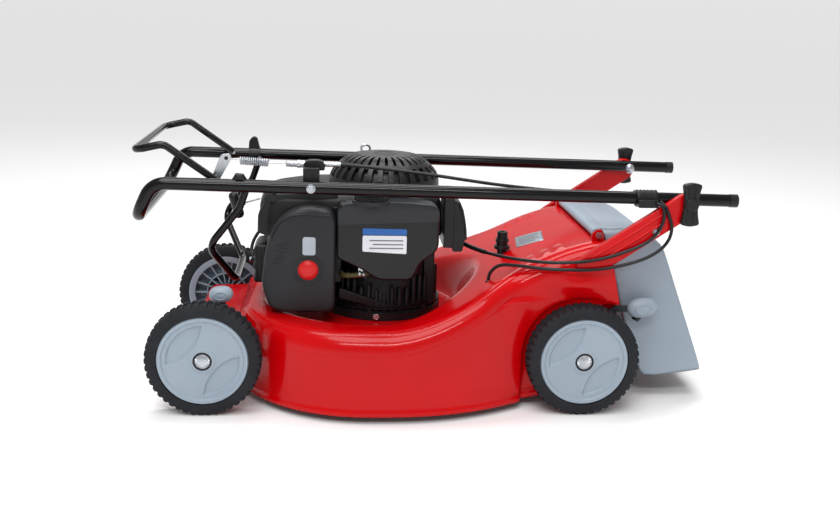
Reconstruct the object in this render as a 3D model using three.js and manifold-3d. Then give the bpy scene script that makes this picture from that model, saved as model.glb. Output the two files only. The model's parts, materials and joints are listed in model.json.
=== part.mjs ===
// Walk-behind rotary lawn mower with its handle folded forward over the engine.
// Millimetres. +X is forward, +Y is the machine's left side, +Z is up, and the ground is Z = 0.
// Inside the group, X is measured from the front axle; the group then centres the machine on X = 0.
import * as THREE from 'three';
import { mergeVertices } from 'three/addons/utils/BufferGeometryUtils.js';
import Module from 'manifold-3d';

const wasm = await Module();
wasm.setup();

// Driving dimensions
const GAP = 0.3;                 // clearance between pieces that touch
const CENTRE_SHIFT = 402.6;      // from the front axle to the middle of the machine
const WHEEL_RADIUS = 100;
const WHEEL_WIDTH = 45;
const WHEEL_FACE = 237;          // outer face of a wheel, from the middle plane
const TYRE_FACETS = 32;
const DISC_RADIUS = 78;
const WHEELBASE = 663;
const STUB_RADIUS = 6;
const LIP_HEIGHT = 14;           // lower edge of the deck
const SHEET = 3;                 // thickness of pressed steel
const WELL_FLOOR = 135;          // deck surface that the engine stands on
const WELL_RADIUS = 168;
const CREST = 158;               // top of the deck's ring
const REAR_CREST = 303;          // top of the discharge tunnel
const ENGINE_X = -315;           // crankshaft axis
const RAIL_Y = 185;              // handle rails, from the middle plane
const RAIL_RADIUS = 11;
const BAIL_RADIUS = 6.5;
const FOLD_X = -835;             // pivot of the folding handle
const FOLD_Z = 381;
const HINGE_X = -692;            // rod that carries the rear flap
const HINGE_Z = 312;
const DRIVE_PIVOT = [-20, 402];
const BRAKE_PIVOT = [-72, 390];
const BLADE_Z = 45;
const BELT_Z = 104;

const group = new THREE.Group();
group.name = 'lawn_mower';
group.position.x = CENTRE_SHIFT;

// Materials
const finish = (color, roughness, metalness = 0) =>
  new THREE.MeshStandardMaterial({ color, roughness, metalness });
const RED = finish(0xc80d12, 0.22);
const GREY_PLASTIC = finish(0x9aa6b0, 0.45);
const RUBBER = finish(0x1c1c1f, 0.85);
const BLACK_PAINT = finish(0x0b0b0d, 0.2);
const BLACK_PLASTIC = finish(0x17181a, 0.5);
const DARK_PLASTIC = finish(0x2b2c2f, 0.6);
const TANK_GREY = finish(0x3a3c40, 0.5);
const PRIMER_RED = finish(0xd0181a, 0.4);
const ZINC = finish(0xc9ccd0, 0.3, 0.9);
const CAST = finish(0x8d9094, 0.5, 0.8);
const STEEL = finish(0x6f7378, 0.4, 0.9);
const HOSE_BROWN = finish(0x4a4422, 0.6);
const FOAM = finish(0x50555a, 0.95);

// A closed solid of shared vertices, whatever way round its faces were made
function toSolid(geometry) {
  const bare = geometry.clone();
  bare.deleteAttribute('normal');
  bare.deleteAttribute('uv');
  const merged = geometry.userData.shared ? bare : mergeVertices(bare, 1e-3);
  const position = merged.attributes.position;
  const index = Array.from(merged.index.array);
  const triangles = [];
  let volume = 0;
  const [a, b, c] = [new THREE.Vector3(), new THREE.Vector3(), new THREE.Vector3()];
  for (let i = 0; i < index.length; i += 3) {
    const [p, q, r] = index.slice(i, i + 3);
    if (p === q || q === r || p === r) continue;
    triangles.push([p, q, r]);
    a.fromBufferAttribute(position, p);
    b.fromBufferAttribute(position, q);
    c.fromBufferAttribute(position, r);
    volume += a.dot(b.cross(c));
  }
  const ordered = volume < 0 ? triangles.map(([p, q, r]) => [p, r, q]) : triangles;
  return new wasm.Manifold(new wasm.Mesh({
    numProp: 3,
    vertProperties: new Float32Array(position.array),
    triVerts: new Uint32Array(ordered.flat()),
  }));
}

function fromSolid(solid) {
  const mesh = solid.getMesh();
  const geometry = new THREE.BufferGeometry();
  geometry.setAttribute('position', new THREE.BufferAttribute(mesh.vertProperties, 3));
  geometry.setIndex(new THREE.BufferAttribute(mesh.triVerts, 1));
  geometry.userData.shared = true;
  return geometry;
}

const join = (...parts) => fromSolid(parts.map(toSolid).reduce((whole, next) => whole.add(next)));
const cut = (base, ...tools) =>
  fromSolid(tools.map(toSolid).reduce((whole, tool) => whole.subtract(tool), toSolid(base)));

function addPart(name, geometry, material, parent = group) {
  const mesh = new THREE.Mesh(fromSolid(toSolid(geometry)), material);
  mesh.name = name;
  parent.add(mesh);
  return mesh;
}

// Shapes
function block(x0, x1, y0, y1, z0, z1) {
  const box = new THREE.BoxGeometry(x1 - x0, y1 - y0, z1 - z0);
  return box.translate((x0 + x1) / 2, (y0 + y1) / 2, (z0 + z1) / 2);
}

const at = (geometry, x, y, z) => geometry.translate(x, y, z);

// A round bar from one point to another
function rod(from, to, radius, sides = 12, endRadius = radius) {
  const start = new THREE.Vector3(...from);
  const end = new THREE.Vector3(...to);
  const along = end.clone().sub(start);
  const bar = new THREE.CylinderGeometry(endRadius, radius, along.length(), sides);
  const up = new THREE.Vector3(0, 1, 0);
  bar.applyQuaternion(new THREE.Quaternion().setFromUnitVectors(up, along.normalize()));
  return bar.translate(...start.add(end).multiplyScalar(0.5).toArray());
}

// A turned ring or disc: profile of [radius, distance along the axis]
function turned(profile, segments, axis = 'z', phase = 0) {
  const points = profile.map(([radius, along]) => new THREE.Vector2(radius, along));
  const body = new THREE.LatheGeometry(points, segments, phase);
  if (axis === 'z') body.rotateX(Math.PI / 2);
  if (axis === 'x') body.rotateZ(-Math.PI / 2);
  return body;
}

const ring = (inner, outer, low, high) =>
  [[inner, low], [outer, low], [outer, high], [inner, high], [inner, low]];

// A closed outline with rounded corners
function rounded(points, radius = 0, cornerSteps = 3) {
  const outline = points.map(([x, y]) => new THREE.Vector2(x, y));
  if (!radius) return new THREE.Shape(outline);
  const soft = [];
  outline.forEach((corner, i) => {
    const before = outline[(i + outline.length - 1) % outline.length];
    const after = outline[(i + 1) % outline.length];
    const reach = Math.min(radius, corner.distanceTo(before) / 2.1, corner.distanceTo(after) / 2.1);
    const enter = corner.clone().lerp(before, reach / corner.distanceTo(before));
    const leave = corner.clone().lerp(after, reach / corner.distanceTo(after));
    soft.push(...new THREE.QuadraticBezierCurve(enter, corner, leave).getPoints(cornerSteps));
  });
  return new THREE.Shape(soft);
}

const solidOf = (shape, depth) => new THREE.ExtrudeGeometry(shape, { depth, bevelEnabled: false });

// An [x, z] outline made solid between two Y planes, and an [x, y] outline between two Z planes
function sideways(points, y0, y1, radius = 0, cornerSteps = 3) {
  return solidOf(rounded(points, radius, cornerSteps), y1 - y0).rotateX(Math.PI / 2).translate(0, y1, 0);
}

function upright(points, z0, z1, radius = 0, cornerSteps = 3) {
  return solidOf(rounded(points, radius, cornerSteps), z1 - z0).translate(0, 0, z0);
}

const rectangle = (x0, x1, y0, y1) => [[x0, y0], [x1, y0], [x1, y1], [x0, y1]];

// A path of straight runs joined by round bends, with a section only where the path turns
class BentPath extends THREE.Curve {
  constructor(points, bend, arcSteps) {
    super();
    const corners = points.map((point) => new THREE.Vector3(...point));
    this.stations = [corners[0]];
    this.tangents = [corners[1].clone().sub(corners[0]).normalize()];
    for (let i = 1; i < corners.length - 1; i += 1) this.addBend(corners, i, bend, arcSteps);
    const last = corners.at(-1);
    this.stations.push(last);
    this.tangents.push(last.clone().sub(corners.at(-2)).normalize());
    this.steps = this.stations.length - 1;
  }

  addBend(corners, i, bend, arcSteps) {
    const inward = corners[i].clone().sub(corners[i - 1]).normalize();
    const outward = corners[i + 1].clone().sub(corners[i]).normalize();
    const turn = inward.angleTo(outward);
    const reach = bend * Math.tan(turn / 2);
    const side = outward.clone().sub(inward.clone().multiplyScalar(Math.cos(turn))).normalize();
    const start = corners[i].clone().addScaledVector(inward, -reach);
    const centre = start.clone().addScaledVector(side, bend);
    for (let step = 0; step <= arcSteps; step += 1) {
      const angle = (turn * step) / arcSteps;
      this.stations.push(centre.clone()
        .addScaledVector(side, -bend * Math.cos(angle))
        .addScaledVector(inward, bend * Math.sin(angle)));
      this.tangents.push(inward.clone().multiplyScalar(Math.cos(angle))
        .addScaledVector(side, Math.sin(angle)));
    }
  }

  getPointAt(u) {
    return this.stations[Math.round(u * this.steps)].clone();
  }

  getPoint(u) {
    return this.getPointAt(u);
  }

  getSpacedPoints() {
    return this.stations.map((station) => station.clone());
  }

  getTangentAt(u, target = new THREE.Vector3()) {
    return target.copy(this.tangents[Math.round(u * this.steps)]);
  }
}

function circle(radius, sides) {
  const points = [];
  for (let i = 0; i < sides; i += 1) {
    const angle = (2 * Math.PI * i) / sides;
    points.push(new THREE.Vector2(radius * Math.cos(angle), radius * Math.sin(angle)));
  }
  return new THREE.Shape(points);
}

function bentBar(points, radius, bend, sides = 10, arcSteps = 4) {
  const path = new BentPath(points, bend, arcSteps);
  return new THREE.ExtrudeGeometry(circle(radius, sides), { steps: path.steps, extrudePath: path });
}

// A flexible cable through the points of its route
function cable(points, radius, step = 12, sides = 8) {
  const path = new THREE.CatmullRomCurve3(points.map((point) => new THREE.Vector3(...point)), false,
    'centripetal');
  const steps = Math.round(path.getLength() / step);
  return new THREE.ExtrudeGeometry(circle(radius, sides), { steps, extrudePath: path });
}

const mirrored = (points) => points.map(([x, y, z]) => [x, -y, z]);
const sides = { left: 1, right: -1 };

// Deck: a pressed bowl round the blade that rises to a discharge tunnel at the rear
const ARC_CENTRE = [-285, 37];
const ARC_RADIUS = 240;
const SHOULDER = 35;
const FRONT_X = ARC_CENTRE[0] + ARC_RADIUS;
const REAR_X = -715;
const REAR_HALF = 162;
const TAIL_START = -310;        // from here the side wall sweeps in towards the rear wheel
const ARCH_START = -552;        // here it turns in to make room for the wheel
const ARCH_END = -576;
const ARCH_HALF = 198;
const FENDER_HALF = 195.5;
const FENDER_LOW = 205;
const REAR_SLANT = 0.22;
const mix = THREE.MathUtils.lerp;
const ramp = (value, from, to) => THREE.MathUtils.smoothstep(value, from, to);

const crest = (x) => mix(CREST, REAR_CREST, ramp(-x, 310, 710));
const lip = (x) => mix(LIP_HEIGHT, 45, ramp(-x, 540, 715));
const isRear = (x) => ramp(-x, 480, 590);

function halfWidth(x, inset) {
  const reach = ARC_RADIUS - inset;
  const along = Math.min(reach, Math.abs(x - ARC_CENTRE[0]));
  const arc = ARC_CENTRE[1] + Math.sqrt(reach * reach - along * along);
  const share = Math.max(0, Math.min(1, (TAIL_START - x) / (TAIL_START - ARCH_START)));
  const tail = ARC_CENTRE[1] + ARC_RADIUS - (ARC_CENTRE[1] + ARC_RADIUS - ARCH_HALF) * share ** 2.3;
  const wall = mix(tail, REAR_HALF, ramp(-x, -ARCH_START, -ARCH_END)) - inset;
  return x < ARC_CENTRE[0] ? Math.max(arc * (x > TAIL_START), wall) : arc;
}

// Height of the deck's skin: a flat well for the engine inside the raised ring
function deckTop(x, y, height) {
  const fromEngine = Math.hypot(x + 290, y);
  const well = 1 - ramp(fromEngine, WELL_RADIUS, WELL_RADIUS + 38);
  return mix(height, Math.min(height, WELL_FLOOR), well);
}

// One half of the cross-section at X, from the lip to the middle
function deckSection(x, inset) {
  const nearFront = Math.min(SHOULDER, Math.max(0, FRONT_X - inset - x));
  const roundOff = SHOULDER - Math.sqrt(SHOULDER ** 2 - (SHOULDER - nearFront) ** 2);
  const height = crest(x) - roundOff;
  const low = halfWidth(x, inset);
  const high = mix(low - Math.min(6, low / 4), FENDER_HALF - inset, isRear(x));
  const radius = Math.min(SHOULDER - inset, high * 0.8);
  const wallTop = Math.min(FENDER_LOW - 4, height - inset - radius - 6);
  const points = [
    [low, inset ? -10 : lip(x)],
    [mix(high + 0.5, low, isRear(x)), wallTop],
    [high, wallTop + 4],
  ];
  for (let step = 0; step <= 3; step += 1) {
    const angle = (Math.PI / 6) * step;
    points.push([high - radius * (1 - Math.cos(angle)), height - inset - radius * (1 - Math.sin(angle))]);
  }
  for (const share of [0.88, 0.76, 0.62, 0.45, 0.22, 0]) {
    const y = (high - radius) * share;
    points.push([y, deckTop(x, y, height) - inset]);
  }
  return points;
}

const DECK_STATIONS = [0, 4, 14, 30, 55, 90, 130, 175, 225, 275, 320, 350, 374, 398, 425, 455, 482, 507, 516,
  524, 531, 570, 610, 642, FRONT_X - REAR_X].map((offset) => FRONT_X - offset);

// The bowl as a closed body; inset by the sheet's thickness it is the space under the skin
function deckBody(inset) {
  const rings = DECK_STATIONS.map((station, i) => {
    let x = i === 0 ? station - inset : station;
    if (i === DECK_STATIONS.length - 1) x += inset;
    const half = deckSection(i === 1 ? station - inset : x, inset);
    const section = [...half, ...half.slice(0, -1).reverse().map(([y, z]) => [-y, z])];
    const lean = REAR_SLANT * ramp(-x, 640, -REAR_X);
    return section.map(([y, z]) => [x - lean * (258 - z), y, z]);
  });
  return loft(rings);
}

// A closed body through rings of equally many points
function loft(rings) {
  const count = rings[0].length;
  const index = [];
  for (let i = 0; i < rings.length - 1; i += 1) {
    for (let j = 0; j < count; j += 1) {
      const [a, b] = [i * count + j, i * count + ((j + 1) % count)];
      index.push(a, b, a + count, b, b + count, a + count);
    }
  }
  const last = (rings.length - 1) * count;
  const face = (ring) => THREE.ShapeUtils.triangulateShape(
    ring.map(([, y, z]) => new THREE.Vector2(y, z)), []);
  face(rings[0]).forEach(([a, b, c]) => index.push(a, c, b));
  face(rings.at(-1)).forEach(([a, b, c]) => index.push(last + a, last + b, last + c));
  const body = new THREE.BufferGeometry();
  body.setAttribute('position', new THREE.Float32BufferAttribute(rings.flat(2), 3));
  body.setIndex(index);
  return body;
}

const SHELF_HALF = 150;
const SHELF = [[-90, 62], [30, 62], [36, 112], [22, 131], [-90, 134]];
const SHELF_HOLLOW = [[-95, 40], [27, 40], [33, 109], [20, 128], [-95, 130.5]];
const LUG_SPOTS = [-156, 156];
const PIVOT_FRONT = [-33, 77];
const PIVOT_REAR = [-611, 77];
const LINK = [-655, 70];         // bar that joins the two rear crank arms
const PORT = [-540, 30];
const GROMMET = [-498, 150];

// Notched sector plates beside the height levers
function sectorPlate([x, z], from, to, y) {
  const outline = [];
  const steps = 12;
  for (let step = 0; step <= steps; step += 1) {
    const angle = THREE.MathUtils.degToRad(mix(from, to, step / steps));
    const radius = step % 2 ? 88 : 96;
    outline.push([x + radius * Math.cos(angle), z + radius * Math.sin(angle)]);
  }
  for (const turn of [to, mix(from, to, 0.5), from]) {
    const angle = THREE.MathUtils.degToRad(turn);
    outline.push([x + 66 * Math.cos(angle), z + 66 * Math.sin(angle)]);
  }
  return sideways(outline, y - 1, y + 1);
}

function deckShell() {
  const shelf = sideways(SHELF, -SHELF_HALF, SHELF_HALF, 8);
  const underShelf = sideways(SHELF_HOLLOW, -SHELF_HALF + SHEET, SHELF_HALF - SHEET);
  const hollow = cut(underShelf, deckBody(0));
  const lugs = LUG_SPOTS.map((y) => sideways(
    [[-680, 285], [-680, 314], [-688, 322], [-698, 322], [-702, 312], [-702, 285]], y - 2, y + 2));
  const frontSector = sectorPlate(PIVOT_FRONT, 100, 25, SHELF_HALF);
  const rearSector = sectorPlate(PIVOT_REAR, 195, 135, REAR_HALF);
  const sectors = [frontSector, rearSector];
  const tunnelMouth = block(REAR_X - 60, REAR_X + 20, -142, 142, 20, 268);
  const crankshaftHole = at(new THREE.CylinderGeometry(34, 34, 30, 20).rotateX(Math.PI / 2),
    ENGINE_X, 0, WELL_FLOOR);
  const linkSlot = block(LINK[0] - 9, LINK[0] + 32, -180, 180, 10, LINK[1] + 9);
  const portHole = rod([...PORT, 150], [...PORT, 300], 9);
  const grommetHole = rod([...GROMMET, 150], [...GROMMET, 300], 6);
  const bore = ([x, z], radius) => rod([x, -300, z], [x, 300, z], radius, 12);
  const bowl = cut(join(deckBody(0), shelf), deckBody(SHEET));
  return cut(join(cut(bowl, hollow), ...lugs, ...sectors), tunnelMouth, crankshaftHole, portHole, grommetHole,
    linkSlot, bore(PIVOT_FRONT, 8), bore(PIVOT_REAR, 8), bore([HINGE_X, HINGE_Z], 4 + GAP));
}

addPart('deck_shell', deckShell(), RED);

// Ramp that leads the clippings up from the blade chamber to the tunnel's mouth
const RAMP_HALF = 140;
addPart('discharge_ramp', sideways([[-562, 42], [-558, 42], [-636, 127], [-722, 127], [-722, 124],
  [-638, 124]], -RAMP_HALF, 60), RED);

// Handle brackets: red channels from the deck's rear corners up to the fold
const BRACKET_IN = RAIL_Y + RAIL_RADIUS + GAP;
const BRACKET_OUT = BRACKET_IN + 13;
const BRACKET_FOOT = [-655, 262];
const ARM_ANGLE = Math.atan2(FOLD_Z - BRACKET_FOOT[1], FOLD_X - BRACKET_FOOT[0]);
const alongArm = (distance, aside) => [
  FOLD_X - distance * Math.cos(ARM_ANGLE) - aside * Math.sin(ARM_ANGLE),
  FOLD_Z - distance * Math.sin(ARM_ANGLE) + aside * Math.cos(ARM_ANGLE)];
const BOLT_SPOT = [-780, 330];

function handleBracket(side) {
  const outline = (aside, head, foot) => [alongArm(-head, -aside), alongArm(-head, aside),
    alongArm(foot, aside), alongArm(foot, -aside)];
  const [near, far] = side > 0 ? [BRACKET_IN, BRACKET_OUT] : [-BRACKET_OUT, -BRACKET_IN];
  const channel = sideways(outline(18, 20, 216), near, far, 9);
  const [low, high] = side > 0 ? [near - 1, far - SHEET] : [near + SHEET, far + 1];
  const hollow = sideways(outline(15, 4, 160), low, high, 6);
  const pivot = rod([FOLD_X, -300, FOLD_Z], [FOLD_X, 300, FOLD_Z], 4.3);
  const bolt = rod([BOLT_SPOT[0], -300, BOLT_SPOT[1]], [BOLT_SPOT[0], 300, BOLT_SPOT[1]], 4.3);
  return cut(channel, hollow, pivot, bolt);
}

for (const [name, side] of Object.entries(sides)) {
  addPart(`handle_bracket_${name}`, handleBracket(side), RED);
}

// Hose spigot for washing the deck
const PORT_Z = deckTop(PORT[0], PORT[1], crest(PORT[0]));
addPart('wash_port', at(turned([[5, -20], [8.6, -20], [8.6, 9], [15, 9], [15, 15], [11, 15], [11, 30],
  [13, 22], [13, 27], [10, 27], [10, 42], [5, 42], [5, -20]], 16), ...PORT, PORT_Z), BLACK_PLASTIC);

// Wheels: rubber tyre with flat facets, one of them on the ground, and a grey disc
const FACET_TURN = Math.PI / TYRE_FACETS;
const TREAD_RADIUS = WHEEL_RADIUS / Math.cos(FACET_TURN);
const HALF_WHEEL = WHEEL_WIDTH / 2;
const tyreProfile = [[DISC_RADIUS + 0.8, -20], [90, -HALF_WHEEL], [TREAD_RADIUS, -14], [TREAD_RADIUS, 14],
  [90, HALF_WHEEL], [DISC_RADIUS + 0.8, 20], [DISC_RADIUS + 0.8, -20]];
const discProfile = [[STUB_RADIUS + GAP, -20], [22, -20], [22, 6], [66, 6], [66, -19], [DISC_RADIUS, -19],
  [DISC_RADIUS, 19], [STUB_RADIUS + GAP, 16], [STUB_RADIUS + GAP, -20]];

function addWheel(name, x, side) {
  const wheel = new THREE.Group();
  wheel.position.set(x, side * (WHEEL_FACE - HALF_WHEEL), WHEEL_RADIUS);
  if (side < 0) wheel.rotation.z = Math.PI;
  group.add(wheel);
  addPart(`${name}_tyre`, turned(tyreProfile, TYRE_FACETS, 'y', FACET_TURN), RUBBER, wheel);
  addPart(`${name}_disc`, turned(discProfile, 24, 'y'), GREY_PLASTIC, wheel);
}

for (const [name, side] of Object.entries(sides)) {
  addWheel(`front_${name}`, 0, side);
  addWheel(`rear_${name}`, -WHEELBASE, side);
}

// Crank axles: an arm at each end carries a stub axle for its wheel, and a lever turns the crank
const STUB_END = WHEEL_FACE - HALF_WHEEL + 21;
const ARM_Y = WHEEL_FACE - WHEEL_WIDTH - 6;
const SHAFT_RADIUS = 7;

function crankArm([x, z], wheelX, side) {
  const lean = Math.atan2(WHEEL_RADIUS - z, wheelX - x);
  const [dx, dz] = [12 * Math.cos(lean), 12 * Math.sin(lean)];
  const plate = sideways([[x - dx + dz, z - dz - dx], [wheelX + dx + dz, WHEEL_RADIUS + dz - dx],
    [wheelX + dx - dz, WHEEL_RADIUS + dz + dx], [x - dx - dz, z - dz + dx]],
    side * ARM_Y - 3, side * ARM_Y + 3, 10, 2);
  const stub = rod([wheelX, side * ARM_Y, WHEEL_RADIUS], [wheelX, side * STUB_END, WHEEL_RADIUS],
    STUB_RADIUS, 10);
  return join(plate, stub);
}

// A flat lever along a route of [x, z] points
function leverStrip(route, y, halfWidth) {
  const edges = route.map(([x, z], i) => {
    const [ax, az] = route[Math.max(0, i - 1)];
    const [bx, bz] = route[Math.min(route.length - 1, i + 1)];
    const length = Math.hypot(bx - ax, bz - az);
    return [x, z, (halfWidth * (bz - az)) / length, (halfWidth * (bx - ax)) / length];
  });
  const there = edges.map(([x, z, nx, nz]) => [x - nx, z + nz]);
  const back = edges.reverse().map(([x, z, nx, nz]) => [x + nx, z - nz]);
  return sideways([...there, ...back], y - 2, y + 2);
}

const KNOB_RADIUS = 16;
const FRONT_KNOB = [-26, 200];
const REAR_KNOB = [-776, 195];
const FRONT_LEVER_Y = 163;
const REAR_LEVER_Y = 177;

const frontLever = leverStrip([PIVOT_FRONT, [-36, 140], [FRONT_KNOB[0], FRONT_KNOB[1] - 9]],
  FRONT_LEVER_Y, 6);
addPart('front_axle', join(rod([PIVOT_FRONT[0], -ARM_Y, PIVOT_FRONT[1]],
  [PIVOT_FRONT[0], ARM_Y, PIVOT_FRONT[1]], SHAFT_RADIUS), crankArm(PIVOT_FRONT, 0, 1),
  crankArm(PIVOT_FRONT, 0, -1), frontLever), ZINC);

const rearLever = leverStrip([LINK, [-690, 160], [-728, 181], [REAR_KNOB[0] + 12, REAR_KNOB[1] - 13]],
  REAR_LEVER_Y, 6);
const shaftBore = rod([PIVOT_REAR[0], -300, PIVOT_REAR[1]], [PIVOT_REAR[0], 300, PIVOT_REAR[1]],
  STUB_RADIUS + GAP);
const linkPlate = (side) => sideways([PIVOT_REAR, [LINK[0], LINK[1] - 8], [LINK[0] - 8, LINK[1]],
  [-WHEELBASE, WHEEL_RADIUS]], side * ARM_Y - 3, side * ARM_Y + 3);
addPart('rear_axle', cut(join(rod([LINK[0], -ARM_Y, LINK[1]], [LINK[0], ARM_Y, LINK[1]], 6),
  crankArm(PIVOT_REAR, -WHEELBASE, 1), crankArm(PIVOT_REAR, -WHEELBASE, -1), linkPlate(1), linkPlate(-1),
  rearLever), shaftBore), ZINC);

function leverKnob([x, z], y, lean) {
  const knobProfile = [[0, 0], [9, 0], [11, 14], [KNOB_RADIUS, 24], [KNOB_RADIUS, 34], [12, 41], [0, 43]];
  const knob = turned(knobProfile, 12);
  knob.rotateY(lean);
  return cut(at(knob, x - 20 * Math.sin(lean), y, z - 20 * Math.cos(lean)),
    block(x - 60, x + 60, y - 2 - GAP, y + 2 + GAP, z - 60, z - 3));
}

addPart('front_lever_knob', leverKnob(FRONT_KNOB, FRONT_LEVER_Y, 0.15), GREY_PLASTIC);
addPart('rear_lever_knob', leverKnob(REAR_KNOB, REAR_LEVER_Y, -0.5), GREY_PLASTIC);

// Rear flap: a hood that hangs from the hinge rod and covers the tunnel's mouth
const FLAP_HALF = 151;
const FLAP_SHEET = 3;
const FLAP_OUTSIDE = [[-703, 318], [-766, 318], [-806, 300], [-824, 272], [-909, 55], [-789, 39], [-746, 155],
  [-722, 250], [-709, 300]];
const FLAP_INSIDE = [[-690, 315], [-765, 315], [-803.5, 298], [-821, 271], [-912, 40], [-780, 20],
  [-730, 155], [-700, 250]];
const SPRING_SPOT = [139, 147];

function dischargeFlap() {
  const outside = sideways(FLAP_OUTSIDE, -FLAP_HALF, FLAP_HALF, 10);
  const inside = sideways(FLAP_INSIDE, -FLAP_HALF + FLAP_SHEET, FLAP_HALF - FLAP_SHEET);
  const barrel = rod([HINGE_X, -FLAP_HALF, HINGE_Z], [HINGE_X, SPRING_SPOT[0] - 1, HINGE_Z], 8, 14);
  const strap = sideways([[-692, 312], [-692, 320], [-706, 318], [-706, 315]], -FLAP_HALF + FLAP_SHEET, 130);
  const hole = rod([HINGE_X, -300, HINGE_Z], [HINGE_X, 300, HINGE_Z], 4 + GAP);
  return cut(join(cut(outside, inside), barrel, strap), hole);
}

addPart('discharge_flap', dischargeFlap(), GREY_PLASTIC);
addPart('flap_rod', join(rod([HINGE_X, -163, HINGE_Z], [HINGE_X, 163, HINGE_Z], 4),
  rod([HINGE_X, 160, HINGE_Z], [HINGE_X, 165, HINGE_Z], 6.5, 6),
  rod([HINGE_X, -165, HINGE_Z], [HINGE_X, -160, HINGE_Z], 6.5, 6)), ZINC);

// Handle: one bent tube, folded forward over the engine
const RAIL_REAR = [-928, RAIL_Y, 383];
const RAIL_CORNER = [84, RAIL_Y, 398.5];
const CROSSBAR = [112, RAIL_Y, 338];
const railHeight = (x) => mix(RAIL_REAR[2], RAIL_CORNER[2],
  (x - RAIL_REAR[0]) / (RAIL_CORNER[0] - RAIL_REAR[0]));
const CONTROL_BOLT_X = -182;

function handleBar() {
  const half = [RAIL_REAR, RAIL_CORNER, CROSSBAR];
  const tube = bentBar([...half, ...mirrored(half).reverse()], RAIL_RADIUS, 36, 12, 4);
  const across = (x, z, radius, low, high) => rod([x, low, z], [x, high, z], radius);
  return cut(tube, across(FOLD_X, FOLD_Z, 4.3, -300, 300),
    across(CONTROL_BOLT_X, railHeight(CONTROL_BOLT_X), 3 + GAP, 150, 220));
}

addPart('handle_bar', handleBar(), BLACK_PAINT);

// Folding hardware: dome-headed bolts from inside, black curved grips outside
const PIVOT_HEAD_Y = RAIL_Y - RAIL_RADIUS - GAP;
const KNOB_OUTLINE = [[-17, -35], [-12, -14], [-12, 14], [-17, 35], [0, 39], [17, 35], [13, 14], [13, -14],
  [17, -35], [0, -39]];
for (const [name, side] of Object.entries(sides)) {
  const bolt = turned([[0, PIVOT_HEAD_Y - 7], [6, PIVOT_HEAD_Y - 6], [10, PIVOT_HEAD_Y - 2],
    [10, PIVOT_HEAD_Y], [4, PIVOT_HEAD_Y], [4, BRACKET_OUT + 12], [0, BRACKET_OUT + 12]], 14, 'y');
  if (side < 0) bolt.rotateX(Math.PI);
  addPart(`pivot_bolt_${name}`, at(bolt, FOLD_X, 0, FOLD_Z), ZINC);
  const inner = BRACKET_OUT + GAP;
  const [low, high] = side > 0 ? [inner, inner + 17] : [-inner - 17, -inner];
  const grip = at(sideways(KNOB_OUTLINE, low, high, 6, 2), FOLD_X, 0, FOLD_Z);
  const boreEnd = [FOLD_X, side * (BRACKET_OUT + 12 + GAP), FOLD_Z];
  addPart(`fold_knob_${name}`, cut(grip, rod([FOLD_X, 0, FOLD_Z], boreEnd, 4 + GAP)), BLACK_PLASTIC);
}

// Bails: the upper one drives the wheels, and the lower one releases the engine brake
const DRIVE_LEG_Y = 166.2;
const BRAKE_LEG_Y = 151.5;

function bail(half, pivot, bend) {
  const bar = bentBar([...half, ...mirrored(half).reverse()], BAIL_RADIUS, bend, 10, 3);
  const pins = [-1, 1].map((side) => rod([pivot[0], side * (half[0][1] - 2), pivot[1]],
    [pivot[0], side * (RAIL_Y - RAIL_RADIUS - GAP), pivot[1]], 4, 10));
  return join(bar, ...pins);
}

const driveHalf = [[DRIVE_PIVOT[0], DRIVE_LEG_Y, DRIVE_PIVOT[1]], [66, DRIVE_LEG_Y, 462],
  [115, DRIVE_LEG_Y, 451]];
const TAB_TIP = [-36, 437];
const TAB = [[-12, 398], [-24, 405], [-44, 438], [-32, 443]];
const tabPlate = sideways(TAB, 150, 153);
const tabWeld = rod([-18, 151, 404], [-18, DRIVE_LEG_Y - 2, 404], 4, 10);
const tabHole = rod([TAB_TIP[0], 140, TAB_TIP[1]], [TAB_TIP[0], 160, TAB_TIP[1]], 2.6, 10);
addPart('drive_bail', cut(join(bail(driveHalf, DRIVE_PIVOT, 14), tabPlate, tabWeld), tabHole), BLACK_PAINT);
const brakeHalf = [[BRAKE_PIVOT[0], BRAKE_LEG_Y, BRAKE_PIVOT[1]], [-58, BRAKE_LEG_Y - 2, 350],
  [-3, BRAKE_LEG_Y - 8, 279], [-44, 80, 205]];
addPart('brake_bail', bail(brakeHalf, BRAKE_PIVOT, 30), BLACK_PAINT);

// Band on the left rail that holds both cables
const CLIP_X = -764;
const CLIP_HALF = 18;
const clipBand = at(turned(ring(RAIL_RADIUS + GAP, RAIL_RADIUS + 4, -CLIP_HALF, CLIP_HALF), 16, 'x'),
  CLIP_X, RAIL_Y, railHeight(CLIP_X));
const railSpace = rod([CLIP_X - 60, RAIL_Y, railHeight(CLIP_X - 60)],
  [CLIP_X + 60, RAIL_Y, railHeight(CLIP_X + 60)], RAIL_RADIUS + GAP, 16);
const clipPod = join(block(CLIP_X - CLIP_HALF, CLIP_X + CLIP_HALF, 163, 176, 380, 396),
  block(CLIP_X - CLIP_HALF, CLIP_X + CLIP_HALF, 192, 208, 372, 386));
addPart('cable_clip', cut(join(clipBand, clipPod), railSpace), BLACK_PLASTIC);

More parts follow.
